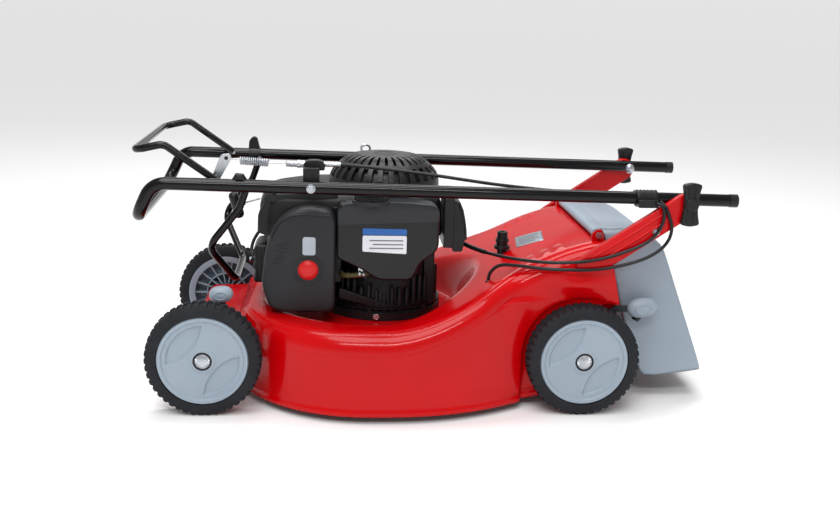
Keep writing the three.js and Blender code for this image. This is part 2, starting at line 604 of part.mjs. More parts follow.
// Drive cable: bracket on the left rail, adjuster through it, return spring and wire to the bail's tab
const CABLE_Y = 145;
const CABLE_Z = 429;
const boltZ = railHeight(CONTROL_BOLT_X);
const bracketBody = join(block(-207, -166, CABLE_Y - 8, CABLE_Y + 8, 418, 438),
  block(-196, -168, CABLE_Y + 5, RAIL_Y - RAIL_RADIUS - GAP, boltZ - 8, 426));
const WIRE_BORE = 3.3;
const adjuster = at(turned([[WIRE_BORE, -138], [4.3, -138], [4.3, -164], [6.2, -164], [6.2, -170],
  [4.6, -170], [4.6, -232], [WIRE_BORE, -232], [WIRE_BORE, -138]], 12, 'x'), 0, CABLE_Y, CABLE_Z);
const wireBore = rod([-240, CABLE_Y, CABLE_Z], [-130, CABLE_Y, CABLE_Z], WIRE_BORE);
const controlBoltHole = rod([CONTROL_BOLT_X, 140, boltZ], [CONTROL_BOLT_X, 200, boltZ], 3 + GAP);
addPart('cable_bracket', cut(join(bracketBody, adjuster), wireBore, controlBoltHole), BLACK_PLASTIC);
const springEnd = [-58, CABLE_Y, 433];
addPart('cable_spring', join(rod([-107, CABLE_Y, 430], springEnd, 5.3, 12),
  rod(springEnd, [TAB_TIP[0] + 1, CABLE_Y, TAB_TIP[1]], 1, 8),
  rod([TAB_TIP[0], CABLE_Y - 1, TAB_TIP[1]], [TAB_TIP[0], 156, TAB_TIP[1]], 1.2, 8),
  rod([-106, CABLE_Y, 430], [-176, CABLE_Y, CABLE_Z], 0.9, 8)), ZINC);

// Engine. Its crankshaft is vertical and its cylinder points forward.
const BASE_Z = WELL_FLOOR + GAP;
const SHROUD = [[-421, -110], [-421, 100], [-84, 100], [-84, -60], [-160, -130], [-330, -150]];
const SHROUD_TOP = 367.7;
const inEngine = (geometry) => at(geometry, ENGINE_X, 0, 0);
const spun = (profile, segments = 20) => inEngine(turned(profile, segments));

const FILLER_LOW = [-340, -80, 200];
const FILLER_HIGH = [-352, -165, 285];
const crankcase = join(spun([[13.3, BASE_Z], [112, BASE_Z], [112, 150], [98, 156], [98, 236], [60, 250],
  [60, 262], [13.3, 262], [13.3, BASE_Z]]), rod(FILLER_LOW, FILLER_HIGH, 9, 10));
addPart('crankcase', cut(crankcase, rod(mixPoint(FILLER_LOW, FILLER_HIGH, 0.35), beyond(4), 4, 8)), CAST);

function mixPoint(from, to, share) {
  return from.map((value, i) => mix(value, to[i], share));
}

// A point on the filler's axis, a distance past its mouth
function beyond(distance) {
  const length = Math.hypot(...FILLER_HIGH.map((value, i) => value - FILLER_LOW[i]));
  return mixPoint(FILLER_LOW, FILLER_HIGH, 1 + distance / length);
}

const stick = rod(beyond(-50), beyond(2), 2.5, 8);
addPart('dipstick', join(stick, rod(beyond(GAP), beyond(14), 13, 12)), BLACK_PLASTIC);

const fins = [-200, -184, -168, -152, -136, -120].map((x) => block(x - 2, x + 2, -60, 58, 162, 276));
addPart('cylinder_block', join(block(-216, -110, -48, 48, 172, 266), block(-112, -96, -56, 56, 166, 272),
  ...fins), CAST);
addPart('spark_plug', inEngine(turned([[0, 219.3], [6, 219.3], [10, 221], [10, 229], [5, 231], [5, 252],
  [0, 252]], 8, 'x').translate(0, 0, 222)), CAST);
addPart('muffler', upright(rectangle(-206, -112, -138, -62), 168, 262, 12, 2), STEEL);

// Blower housing with the flywheel inside, and the slotted starter dome on top
function blowerHousing() {
  const outside = upright(SHROUD, 290, SHROUD_TOP, 34);
  const inset = SHROUD.map(([x, y]) => [ENGINE_X + (x - ENGINE_X) * 0.975, y * 0.965]);
  const roundHole = spun([[0, 350], [84, 350], [84, 380], [0, 380]], 24);
  const ropeHole = rod([-130, 0, 354.5], [-67, 0, 334.4], 4, 8);
  return cut(outside, upright(inset, 280, SHROUD_TOP - 4, 32), roundHole, ropeHole);
}

addPart('blower_housing', blowerHousing(), BLACK_PLASTIC);

const DOME = [[0, 429], [50, 429], [72, 423], [93, 403], [103, 380], [103, 368], [99.5, 368], [99.5, 380],
  [90, 401], [70, 419.5], [50, 425], [8, 425], [8, 366], [0, 366], [0, 429]];
const domeSlots = [];
for (let i = 0; i < 10; i += 1) {
  const slot = block(52, 86, -4, 4, 398, 440).rotateZ((Math.PI * (i + 0.5)) / 5);
  domeSlots.push(inEngine(slot));
}
addPart('recoil_cover', cut(spun(DOME, 20), ...domeSlots), BLACK_PLASTIC);
const pulleyProfile = [[8.3, 372], [42, 372], [36, 379], [42, 386], [8.3, 386], [8.3, 372]];
addPart('starter_pulley', spun(pulleyProfile), DARK_PLASTIC);
addPart('flywheel', spun([[13.3, 305], [80, 305], [80, 335], [62, 335], [62, 318], [13.3, 318],
  [13.3, 305]], 24), CAST);
const crankshaft = spun([[0, 78], [12.5, 78], [12.5, 334], [9, 350], [0, 350]], 14);

// Engine brake: a pad that presses on the flywheel's rim
const BRAKE_SPOT = [-407, 5];
const brakePad = block(0, 8, -7, 7, 292, 328).rotateZ(Math.PI * 0.78).translate(
  ENGINE_X + 81 * Math.cos(Math.PI * 0.78), 81 * Math.sin(Math.PI * 0.78), 0);
addPart('engine_brake_lever', join(rod([...BRAKE_SPOT, 288], [...BRAKE_SPOT, 298], 6, 10), brakePad,
  upright([[-412, 3], [-402, 3], [-374, 56], [-388, 62]], 291, 297)), STEEL);

const guardSlots = [-1, 0, 1].map((i) => block(-450, -420, 44 + i * 22, 54 + i * 22, 288, 340));
const cableBlock = block(-452, -436, 40, 60, 264, 282);
const guardPlate = block(-440, -422, 12, 92, 270, 362);
addPart('rear_guard', join(cut(guardPlate, ...guardSlots), cableBlock), BLACK_PLASTIC);

// Fuel tank, its cap, and the hose to the carburettor
const TANK = [[-227, 262], [-275, 240], [-300, 222], [-362, 222], [-376, 255], [-408, 278], [-408, 350],
  [-396, 360], [-232, 360], [-227, 350]];
const CAP_SPOT = [-287, 138];
const HOSE_Z = 207;
const hoseEnd = [-279, 128, 231];
addPart('fuel_tank', join(sideways(TANK, 104, 152, 8, 2), rod([...CAP_SPOT, 350], [...CAP_SPOT, 367], 12),
  rod([hoseEnd[0], hoseEnd[1], 222], [hoseEnd[0], hoseEnd[1], 250], 4, 10)), TANK_GREY);
addPart('fuel_cap', at(turned([[0, 367.5], [13, 367.5], [13, 361], [30, 361], [30, 378], [24, 383],
  [0, 383]], 16), ...CAP_SPOT, 0), BLACK_PLASTIC);
addPart('fuel_hose', bentBar([[-212.3, 80, HOSE_Z + 8.5], [-238, 80, HOSE_Z + 8.5], [-238, 128, HOSE_Z],
  [hoseEnd[0], hoseEnd[1], HOSE_Z], [hoseEnd[0], hoseEnd[1], 221.7]], 4.5, 9, 10, 3), HOSE_BROWN);
const floatBowl = rod([-190, 80, 182], [-190, 80, 204], 17, 14);
const fuelInlet = rod([-212, 80, HOSE_Z + 8.5], [-200, 80, HOSE_Z + 8.5], 4, 10);
addPart('carburettor', join(block(-209, -172, 62, 98, 200, 262), floatBowl, fuelInlet), CAST);

// Air filter: foam element in a cover that also holds the primer bulb
const COVER = [[-94, 212], [-108, 170], [-128, 161], [-215, 161], [-225, 172], [-225, 332], [-214, 346],
  [-168, 352], [-125, 332], [-103, 285]];
const PRIMER = [-177, 241];
const coverAt = (scale) => COVER.map(([x, z]) => [-155 + (x + 155) * scale, 256 + (z - 256) * scale]);
const coverHollow = sideways(coverAt(0.95), 100, 149.5, 10, 2);
const primerHole = rod([PRIMER[0], 140, PRIMER[1]], [PRIMER[0], 160, PRIMER[1]], 21, 18);
addPart('air_filter_cover', cut(sideways(COVER, 103.3, 153, 12, 2), coverHollow, primerHole), DARK_PLASTIC);
addPart('air_filter_element', sideways(rectangle(-214, -128, 268, 322), 104, 138, 8, 2), FOAM);
addPart('primer_bulb', at(turned([[0, 118], [18, 118], [18, 142], [16, 151], [10, 156], [0, 158]], 16, 'y'),
  PRIMER[0], 0, PRIMER[1]), PRIMER_RED);

// Starter rope and grip
const GRIP = [-40, 326];
const ROPE_EXIT = [-83.4, 339.7];
const ropeLean = Math.atan2(ROPE_EXIT[1] - GRIP[1], GRIP[0] - ROPE_EXIT[0]);
const gripBody = turned([[0, -26], [8, -25], [12, -12], [12, 12], [8, 25], [0, 26]], 10);
const gripStem = rod([-17, 0, 0], [-6, 0, 0], 4, 8, 7);
const grip = join(gripBody, gripStem).rotateY(ropeLean);
addPart('starter_grip', at(grip, GRIP[0], 0, GRIP[1]), BLACK_PLASTIC);
const stemEnd = 17.3 / Math.hypot(GRIP[0] - ROPE_EXIT[0], GRIP[1] - ROPE_EXIT[1]);
addPart('starter_rope', rod([ROPE_EXIT[0], 0, ROPE_EXIT[1]],
  [mix(GRIP[0], ROPE_EXIT[0], stemEnd), 0, mix(GRIP[1], ROPE_EXIT[1], stemEnd)], 1.8, 8), GREY_PLASTIC);

// Cutting blade under the crankshaft
const HALF_BLADE = 226;
const sail = (turn) => sideways([[HALF_BLADE - 70, 44], [HALF_BLADE - 60, 48], [HALF_BLADE - 2, 60],
  [HALF_BLADE - 2, 44]], 12, 24).rotateZ(turn);
const blade = join(upright([[-HALF_BLADE, -12], [-HALF_BLADE + 20, -25], [HALF_BLADE, -25], [HALF_BLADE, 12],
  [HALF_BLADE - 20, 25], [-HALF_BLADE, 25]], 42, BLADE_Z), sail(0), sail(Math.PI));
addPart('blade', inEngine(cut(blade, rod([0, 0, 0], [0, 0, 90], 5.3))), STEEL);
addPart('blade_carrier', spun([[5.3, BLADE_Z + GAP], [30, BLADE_Z + GAP], [30, 52], [20, 56], [20, 92],
  [12.8, 92], [12.8, 77.7], [5.3, 77.7], [5.3, BLADE_Z + GAP]], 16), CAST);
addPart('blade_bolt', spun([[0, 31], [10, 31], [12, 33], [12, 41.7], [5, 41.7], [5, 76], [0, 76]], 10), ZINC);

// Wheel drive: belt from the crankshaft to a gearbox on the cross shaft
const GEARBOX = [-598, 101];
const pulley = (bore, outer) => ring(bore, outer, BELT_Z - 8, BELT_Z + 8).toSpliced(2, 0,
  [outer - 6, BELT_Z - 3], [outer - 6, BELT_Z + 3]);
addPart('crankshaft', join(crankshaft, spun(pulley(10, 30), 16)), STEEL);
addPart('gearbox_pulley', at(turned(pulley(6.3, 26), 16), ...GEARBOX, 0), STEEL);

// Outline of a belt stretched round two pulleys
function beltOutline(extra) {
  const [dx, dy] = [GEARBOX[0] - ENGINE_X, GEARBOX[1]];
  const [big, small] = [24.9 + extra, 20.9 + extra];
  const heading = Math.atan2(dy, dx);
  const lean = Math.acos((big - small) / Math.hypot(dx, dy));
  const arc = (x, y, radius, from, to) => Array.from({ length: 9 }, (_, i) => {
    const angle = heading + mix(from, to, i / 8);
    return new THREE.Vector2(x + radius * Math.cos(angle), y + radius * Math.sin(angle));
  });
  return [...arc(ENGINE_X, 0, big, lean, 2 * Math.PI - lean), ...arc(...GEARBOX, small, -lean, lean)];
}

const beltShape = new THREE.Shape(beltOutline(5));
beltShape.holes.push(new THREE.Path(beltOutline(0)));
addPart('drive_belt', at(solidOf(beltShape, 5), 0, 0, BELT_Z - 2.5), RUBBER);
const gearboxCase = join(sideways([[-640, 62], [-622, 50], [-596, 50], [-574, 66], [-574, 95], [-640, 95]],
  80, 124, 8, 2), rod([...GEARBOX, 90], [...GEARBOX, 122], 6, 12));
addPart('gearbox', cut(gearboxCase, shaftBore), CAST);
const SHAFT_END = WHEEL_FACE - HALF_WHEEL - 1;
const onShaft = (y) => [PIVOT_REAR[0], y, PIVOT_REAR[1]];
const pinions = [-1, 1].map((side) => (
  rod(onShaft(side * (SHAFT_END - 14)), onShaft(side * SHAFT_END), 8.4, 12)));
addPart('drive_shaft', join(rod(onShaft(-SHAFT_END), onShaft(SHAFT_END), STUB_RADIUS), ...pinions), STEEL);

// Control cables: one stretch inside the left rail, and two that loop from the clip to the machine
const CABLE_RADIUS = 3;
addPart('drive_cable_rail', cable([[-232.3, CABLE_Y, CABLE_Z], [-300, 147, 424], [-400, 155, 414],
  [-500, 163, 402], [-620, 168, 392], [-700, 168.2, 388], [CLIP_X + CLIP_HALF + GAP, 168, 386]],
  CABLE_RADIUS, 24), BLACK_PLASTIC);
addPart('brake_cable_loop', cable([[-455.5, 49, 273], [-474, 78, 269.4], [-494.8, 120, 270],
  [-533.3, 165, 270.4], [-581.5, 198, 272], [-630.8, 212, 275], [-682.9, 214, 282], [-734.7, 214.5, 299],
  [-766, 215, 315], [-782, 215, 333], [-788.5, 216, 350], [-789, 217.5, 364], [-785, 218, 377],
  [-777, 211.5, 380.5]],
  CABLE_RADIUS, 18), BLACK_PLASTIC);
addPart('drive_cable_loop', cable([[-498.4, 150, 226], [-500.9, 152, 239.1], [-513.4, 160, 254.2],
  [-535.5, 175, 260], [-581.5, 202, 261.1], [-631.4, 213, 261.9], [-684.2, 214, 264], [-736.7, 214, 275],
  [-770, 214.5, 288], [-792, 215, 304], [-803, 215, 322], [-805, 215, 341], [-800, 214.5, 357],
  [-792, 213.8, 375], [-785, 203, 382.5]],
  CABLE_RADIUS, 18), BLACK_PLASTIC);

export default group;
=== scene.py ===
"""Looks of the folded walk-behind mower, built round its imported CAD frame.

Lengths written as millimetres are measured as in the frame's design: X forward from the front axle,
Y to the machine's left, and Z up from the ground. spot() turns them into the frame's metres.
"""
import json
import math

import bmesh
import bpy
from mathutils import Matrix, Vector


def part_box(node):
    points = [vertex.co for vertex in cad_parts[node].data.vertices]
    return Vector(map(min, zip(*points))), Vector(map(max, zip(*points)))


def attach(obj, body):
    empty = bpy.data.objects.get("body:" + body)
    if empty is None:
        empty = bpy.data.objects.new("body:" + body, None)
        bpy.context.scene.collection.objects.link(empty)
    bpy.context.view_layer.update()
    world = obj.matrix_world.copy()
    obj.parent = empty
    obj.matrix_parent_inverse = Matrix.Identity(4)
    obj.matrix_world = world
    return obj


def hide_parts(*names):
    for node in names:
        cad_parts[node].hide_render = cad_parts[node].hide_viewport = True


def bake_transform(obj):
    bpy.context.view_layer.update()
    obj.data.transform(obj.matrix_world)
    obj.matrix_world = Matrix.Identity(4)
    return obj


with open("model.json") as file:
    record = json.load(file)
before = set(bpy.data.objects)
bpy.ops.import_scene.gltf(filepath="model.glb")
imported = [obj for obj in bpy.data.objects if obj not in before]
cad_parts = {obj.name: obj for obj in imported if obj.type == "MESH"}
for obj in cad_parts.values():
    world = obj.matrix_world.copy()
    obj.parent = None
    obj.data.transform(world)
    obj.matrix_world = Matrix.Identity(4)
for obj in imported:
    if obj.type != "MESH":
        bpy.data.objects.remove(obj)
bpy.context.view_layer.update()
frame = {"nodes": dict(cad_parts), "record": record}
MM = 0.001


def centre_of(node):
    low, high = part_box(node)
    return (low + high) / 2


AXLE_X = centre_of("front_left_tyre").x
WHEEL_RADIUS = centre_of("front_left_tyre").z / MM
WHEEL_Y = centre_of("front_left_tyre").y / MM
WHEELBASE = (AXLE_X - centre_of("rear_left_tyre").x) / MM
RAIL_Y = 185
RAIL_RADIUS = 11
BAIL_RADIUS = 6.5
ENGINE_X = (centre_of("recoil_cover").x - AXLE_X) / MM


def spot(x, y, z):
    """A place in millimetres from the front axle, in the frame's metres."""
    return Vector((AXLE_X + x * MM, y * MM, z * MM))


def around(radius, step, steps):
    """The two coordinates of one of several even steps round a circle."""
    angle = 2 * math.pi * step / steps
    return radius * math.cos(angle), radius * math.sin(angle)


# Camera, floor and light

FOCAL_PIXELS = 1054.7
IMAGE_WIDTH = 840
SENSOR = 36.0
CAMERA_PLACE = (-218.2, 1961.2, 715.3)
CAMERA_YAW = 0.086
CAMERA_PITCH = 0.24
CAMERA_ROLL = 0.031


def make_camera():
    """The photographer's place, turned by yaw, pitch and a small roll."""
    data = bpy.data.cameras.new("camera")
    data.sensor_width = SENSOR
    data.lens = SENSOR * FOCAL_PIXELS / IMAGE_WIDTH
    data.clip_end = 50
    camera = bpy.data.objects.new("camera", data)
    bpy.context.scene.collection.objects.link(camera)
    ahead_flat = Vector((-math.sin(CAMERA_YAW), -math.cos(CAMERA_YAW), 0))
    right_flat = Vector((-math.cos(CAMERA_YAW), math.sin(CAMERA_YAW), 0))
    up_flat = Vector((0, 0, 1))
    ahead = ahead_flat * math.cos(CAMERA_PITCH) - up_flat * math.sin(CAMERA_PITCH)
    up_level = up_flat * math.cos(CAMERA_PITCH) + ahead_flat * math.sin(CAMERA_PITCH)
    right = right_flat * math.cos(CAMERA_ROLL) + up_level * math.sin(CAMERA_ROLL)
    up = up_level * math.cos(CAMERA_ROLL) - right_flat * math.sin(CAMERA_ROLL)
    turn = Matrix((right, up, -ahead)).transposed().to_4x4()
    camera.matrix_world = Matrix.Translation(spot(*CAMERA_PLACE)) @ turn
    bpy.context.scene.camera = camera


def make_floor():
    """A pale floor that is flat round the object and sweeps gently up far away."""
    profile = [(0.01, 0), (4, 0), (10, 0), (14, 0.05), (20, 0.4), (28, 1.6), (36, 4.2), (44, 9)]
    sides = 96
    points = [(*around(reach, k, sides), height) for reach, height in profile for k in range(sides)]
    faces = [(i * sides + k, i * sides + (k + 1) % sides, (i + 1) * sides + (k + 1) % sides,
              (i + 1) * sides + k) for i in range(len(profile) - 1) for k in range(sides)]
    mesh = bpy.data.meshes.new("floor")
    mesh.from_pydata(points, [], faces + [tuple(range(sides))])
    mesh.shade_smooth()
    floor = bpy.data.objects.new("floor", mesh)
    bpy.context.scene.collection.objects.link(floor)
    material = bpy.data.materials.new("floor_white")
    material.use_nodes = True
    shader = material.node_tree.nodes["Principled BSDF"]
    shader.inputs["Base Color"].default_value = (0.93, 0.93, 0.93, 1)
    shader.inputs["Roughness"].default_value = 0.9
    floor.data.materials.append(material)


def add_light(name, place, aim, size, power, size_y):
    data = bpy.data.lights.new(name, "AREA")
    data.shape = "RECTANGLE"
    data.size = size
    data.size_y = size_y
    data.energy = power
    light = bpy.data.objects.new(name, data)
    light.location = place
    light.rotation_euler = (Vector(aim) - Vector(place)).to_track_quat("-Z", "Y").to_euler()
    bpy.context.scene.collection.objects.link(light)


def make_lights():
    """A wide soft sun, three softboxes and an even pale background."""
    sun_data = bpy.data.lights.new("wide_sun", "SUN")
    sun_data.energy = 1.3
    sun_data.angle = math.radians(32)
    sun = bpy.data.objects.new("wide_sun", sun_data)
    sun.rotation_euler = Vector((0.15, 0.35, 1)).to_track_quat("Z", "Y").to_euler()
    bpy.context.scene.collection.objects.link(sun)
    add_light("top_softbox", (0.1, -0.3, 2.2), (0, 0, 0.2), 2.2, 26, size_y=0.5)
    add_light("front_softbox", (0.3, 2.4, 2.1), (0, 0, 0.2), 1.8, 27, size_y=0.22)
    add_light("back_softbox", (0.0, -2.4, 2.0), (0, 0, 0.2), 1.8, 12, size_y=0.8)
    world = bpy.data.worlds.new("studio")
    world.use_nodes = True
    background = world.node_tree.nodes["Background"]
    background.inputs["Color"].default_value = (1, 1, 1, 1)
    background.inputs["Strength"].default_value = 0.42
    bpy.context.scene.world = world
    bpy.context.scene.view_settings.view_transform = "Standard"


# Materials: every one has its own colour drift, grain and roughness from nodes

def linear(red, green, blue):
    """An 8-bit screen colour as the shader's linear one."""
    def channel(value):
        share = value / 255
        return share / 12.92 if share <= 0.04045 else ((share + 0.055) / 1.055) ** 2.4
    return (channel(red), channel(green), channel(blue), 1)


def add_noise(tree, place, scale, detail=4, stretch=(1, 1, 1)):
    """A noise texture in the object's own space."""
    mapping = tree.nodes.new("ShaderNodeMapping")
    mapping.inputs["Scale"].default_value = stretch
    tree.links.new(place.outputs["Object"], mapping.inputs["Vector"])
    texture = tree.nodes.new("ShaderNodeTexNoise")
    texture.inputs["Scale"].default_value = scale
    texture.inputs["Detail"].default_value = detail
    tree.links.new(mapping.outputs["Vector"], texture.inputs["Vector"])
    return texture


def spread(tree, source, low, high):
    """Stretches a noise's middle range to low..high."""
    node = tree.nodes.new("ShaderNodeMapRange")
    node.inputs["From Min"].default_value = 0.3
    node.inputs["From Max"].default_value = 0.7
    node.inputs["To Min"].default_value = low
    node.inputs["To Max"].default_value = high
    tree.links.new(source, node.inputs["Value"])
    return node.outputs["Result"]


def surface(name, base, drift, roughness, metallic=0.0, grain=900, bump=0.02, coat=0.0,
            drift_scale=6, rough_range=0.06, stretch=(1, 1, 1), distance=0.0004, shine=0.35):
    """A shader whose colour drifts from base to drift, with a fine grain in its height and gloss."""
    material = bpy.data.materials.new(name)
    material.use_nodes = True
    tree = material.node_tree
    shader = tree.nodes["Principled BSDF"]
    place = tree.nodes.new("ShaderNodeTexCoord")
    clouds = add_noise(tree, place, drift_scale, 5)
    mixer = tree.nodes.new("ShaderNodeMix")
    mixer.data_type = "RGBA"
    mixer.inputs[6].default_value = base
    mixer.inputs[7].default_value = drift
    tree.links.new(spread(tree, clouds.outputs["Fac"], 0, 1), mixer.inputs[0])
    tree.links.new(mixer.outputs[2], shader.inputs["Base Color"])
    fine = add_noise(tree, place, grain, 3, stretch)
    tree.links.new(spread(tree, fine.outputs["Fac"], roughness - rough_range, roughness + rough_range),
                   shader.inputs["Roughness"])
    relief = tree.nodes.new("ShaderNodeBump")
    relief.inputs["Strength"].default_value = bump
    relief.inputs["Distance"].default_value = distance
    tree.links.new(fine.outputs["Fac"], relief.inputs["Height"])
    tree.links.new(relief.outputs["Normal"], shader.inputs["Normal"])
    shader.inputs["Metallic"].default_value = metallic
    shader.inputs["Coat Weight"].default_value = coat
    shader.inputs["Specular IOR Level"].default_value = shine
    shader.inputs["Coat Roughness"].default_value = 0.06
    return material


RED_PAINT = surface("red_paint", linear(200, 2, 9), linear(182, 1, 6), 0.2, grain=260, bump=0.05,
                    coat=0.2, drift_scale=3, rough_range=0.03, distance=0.0003, shine=0.14)
BLACK_PAINT = surface("black_paint", linear(4, 4, 6), linear(8, 8, 10), 0.16,
                      grain=500, bump=0.04, coat=0.2, rough_range=0.04, shine=0.2)
GREY_PLASTIC = surface("grey_plastic", linear(150, 163, 175), linear(141, 154, 167),
                       0.42, grain=1500, bump=0.12, rough_range=0.08)
TYRE_RUBBER = surface("tyre_rubber", linear(19, 20, 25), linear(28, 30, 36), 0.75,
                      grain=700, bump=0.35, drift_scale=25, rough_range=0.12)
BLACK_PLASTIC = surface("black_plastic", linear(14, 15, 17), linear(22, 23, 25),
                        0.38, grain=1300, bump=0.2, rough_range=0.1)
COVER_PLASTIC = surface("cover_plastic", linear(30, 31, 34), linear(38, 39, 43),
                        0.5, grain=1700, bump=0.3, rough_range=0.08)
TANK_BLACK = surface("tank_black", linear(14, 15, 18), linear(21, 22, 25),
                     0.28, grain=1100, bump=0.12, rough_range=0.06)
TANK_GREY = surface("tank_grey", linear(36, 38, 42), linear(44, 46, 51), 0.45, grain=1500, bump=0.2)
PRIMER_RED = surface("primer_red", linear(206, 26, 26), linear(190, 18, 18), 0.35, grain=900, bump=0.1)
ZINC = surface("zinc", linear(202, 205, 210), linear(160, 166, 174), 0.3,
               metallic=1.0, grain=420, bump=0.12, drift_scale=40, rough_range=0.12)
CAST_ALLOY = surface("cast_alloy", linear(58, 59, 63), linear(38, 39, 42), 0.5,
                     metallic=0.6, grain=380, bump=0.5, drift_scale=30, rough_range=0.15)
ENGINE_BLACK = surface("engine_black", linear(19, 19, 21), linear(30, 30, 33), 0.4,
                       metallic=0.2, grain=380, bump=0.45, drift_scale=30, rough_range=0.14)
DARK_STEEL = surface("dark_steel", linear(52, 53, 57), linear(34, 35, 38), 0.42, metallic=0.8,
                     grain=300, bump=0.25, drift_scale=22, rough_range=0.15, stretch=(1, 8, 1))
HOSE_BROWN = surface("hose_brown", linear(84, 76, 38), linear(66, 60, 32), 0.45, grain=500, bump=0.15)
FOAM = surface("foam", linear(82, 86, 90), linear(60, 64, 68), 0.9, grain=900, bump=1.0, drift_scale=200)
BELT_RUBBER = surface("belt_rubber", linear(30, 30, 31), linear(44, 44, 45), 0.8, grain=600, bump=0.5)
CABLE_BLACK = surface("cable_black", linear(10, 11, 14), linear(18, 19, 23), 0.32, grain=700, bump=0.15)
ROPE_GREY = surface("rope_grey", linear(196, 196, 190), linear(150, 150, 146),
                    0.8, grain=1600, bump=0.9, drift_scale=400)
LABEL_WHITE = surface("label_white", linear(228, 231, 236),
                      linear(214, 218, 226), 0.35, grain=300, bump=0.04)
LABEL_BLUE = surface("label_blue", linear(44, 104, 178), linear(38, 94, 166), 0.35, grain=300, bump=0.04)
LABEL_SILVER = surface("label_silver", linear(176, 184, 192), linear(150, 158, 168),
                       0.35, metallic=0.7, grain=500, bump=0.1, stretch=(1, 12, 1))
LABEL_GREY = surface("label_grey", linear(120, 124, 132), linear(104, 108, 116), 0.4, grain=300, bump=0.04)

NODE_LOOKS = {
    "red_steel": RED_PAINT, "black_tube": BLACK_PAINT, "grey_plastic": GREY_PLASTIC,
    "tyre_rubber": TYRE_RUBBER, "black_plastic": BLACK_PLASTIC, "dark_plastic": COVER_PLASTIC,
    "tank_plastic": TANK_BLACK, "primer_rubber": PRIMER_RED, "zinc": ZINC, "cast_alloy": CAST_ALLOY,
    "dark_steel": DARK_STEEL, "hose_rubber": HOSE_BROWN, "foam": FOAM, "belt_rubber": BELT_RUBBER,
    "cable_jacket": CABLE_BLACK, "rope": ROPE_GREY,
}
NODE_SLOT = {part["node"]: part["material_slot"] for part in frame["record"]["subparts"]}


def look_of(node):
    """The material of a CAD node, from its slot in the record."""
    return NODE_LOOKS[NODE_SLOT[node]]


# Mesh building

def make_object(name, points, faces, material, smooth=40):
    """A mesh object with clean, smoothly shaded faces."""
    mesh = bpy.data.meshes.new(name)
    mesh.from_pydata([tuple(point) for point in points], [], faces)
    mesh.update()
    body = bpy.data.objects.new(name, mesh)
    bpy.context.scene.collection.objects.link(body)
    mesh.materials.append(material)
    clean(body)
    soften(body, smooth)
    return body


def clean(body):
    """Merges doubled points and turns all faces outward."""
    work = bmesh.new()
    work.from_mesh(body.data)
    bmesh.ops.remove_doubles(work, verts=work.verts, dist=2e-6)
    bmesh.ops.recalc_face_normals(work, faces=work.faces)
    work.to_mesh(body.data)
    work.free()


def soften(body, degrees):
    """Smooth shading that keeps edges sharper than the angle."""
    mesh = body.data
    mesh.shade_smooth()
    mesh.set_sharp_from_angle(angle=math.radians(degrees))


def add_modifier(body, kind, **settings):
    modifier = body.modifiers.new(kind.lower(), kind)
    for key, value in settings.items():
        setattr(modifier, key, value)
    return modifier


def bevel(body, width_mm, segments=2, angle=35):
    add_modifier(body, "BEVEL", width=width_mm * MM, segments=segments,
                 limit_method="ANGLE", angle_limit=math.radians(angle), harden_normals=True)


def settle(body):
    """Applies a body's modifiers."""
    bpy.context.view_layer.update()
    graph = bpy.context.evaluated_depsgraph_get()
    mesh = bpy.data.meshes.new_from_object(body.evaluated_get(graph))
    body.modifiers.clear()
    body.data = mesh


def merge(name, *bodies):
    """One object from several, keeping each one's material."""
    for body in bodies:
        settle(body)
    first = bodies[0]
    with bpy.context.temp_override(active_object=first, selected_editable_objects=list(bodies)):
        bpy.ops.object.join()
    first.name = name
    first.data.name = name
    return first


def place(piece, body, *nodes, slot=None):
    """Parents a piece to its body and hides the CAD nodes that it stands for."""
    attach(piece, body)
    if nodes:
        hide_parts(*nodes)
    return piece


def body_of_node(node):
    for body, nodes in frame["record"]["behaviour"]["bodies"].items():
        if node in nodes:
            return body
    raise KeyError(node)


def refined(node, width_mm=0.8, smooth=32, segments=2, material=None):
    """A CAD node's shape with rounded edges and smooth curved faces, standing for the node."""
    source = frame["nodes"][node]
    body = bpy.data.objects.new(f"{node}_shape", source.data.copy())
    bpy.context.scene.collection.objects.link(body)
    body.data.materials.clear()
    body.data.materials.append(material or look_of(node))
    work = bmesh.new()
    work.from_mesh(body.data)
    bmesh.ops.remove_doubles(work, verts=work.verts, dist=2e-5)
    bmesh.ops.dissolve_limit(work, angle_limit=math.radians(1), verts=work.verts, edges=work.edges)
    work.to_mesh(body.data)
    work.free()
    soften(body, smooth)
    if width_mm:
        bevel(body, width_mm, segments, smooth)
    return place(body, body_of_node(node), node)


def tube_rings(points, radius, sides, radii=None):
    """Rings of points round a path of Vectors, turned as little as possible."""
    rings = []
    tangents = []
    for i, point in enumerate(points):
        before = points[max(0, i - 1)]
        after = points[min(len(points) - 1, i + 1)]
        tangents.append((after - before).normalized())
    reference = Vector((0, 1, 0)) if abs(tangents[0].y) < 0.9 else Vector((0, 0, 1))
    across = tangents[0].cross(reference).normalized()
    for i, point in enumerate(points):
        tangent = tangents[i]
        across = (across - tangent * across.dot(tangent)).normalized()
        other = tangent.cross(across)
        width = radii[i] if radii else radius
        rings.append([point + (across * math.cos(2 * math.pi * k / sides)
                               + other * math.sin(2 * math.pi * k / sides)) * width * MM
                      for k in range(sides)])
    return rings


def skin(rings, closed_ring=True, caps=True, closed_path=False):
    """Faces between rings of equally many points."""
    points = [point for ring in rings for point in ring]
    count = len(rings[0])
    faces = []
    last = len(rings) if closed_path else len(rings) - 1
    for i in range(last):
        following = (i + 1) % len(rings)
        for k in range(count if closed_ring else count - 1):
            n = (k + 1) % count
            faces.append((i * count + k, i * count + n, following * count + n, following * count + k))
    if caps and not closed_path:
        faces.append(tuple(range(count - 1, -1, -1)))
        start = (len(rings) - 1) * count
        faces.append(tuple(range(start, start + count)))
    return points, faces


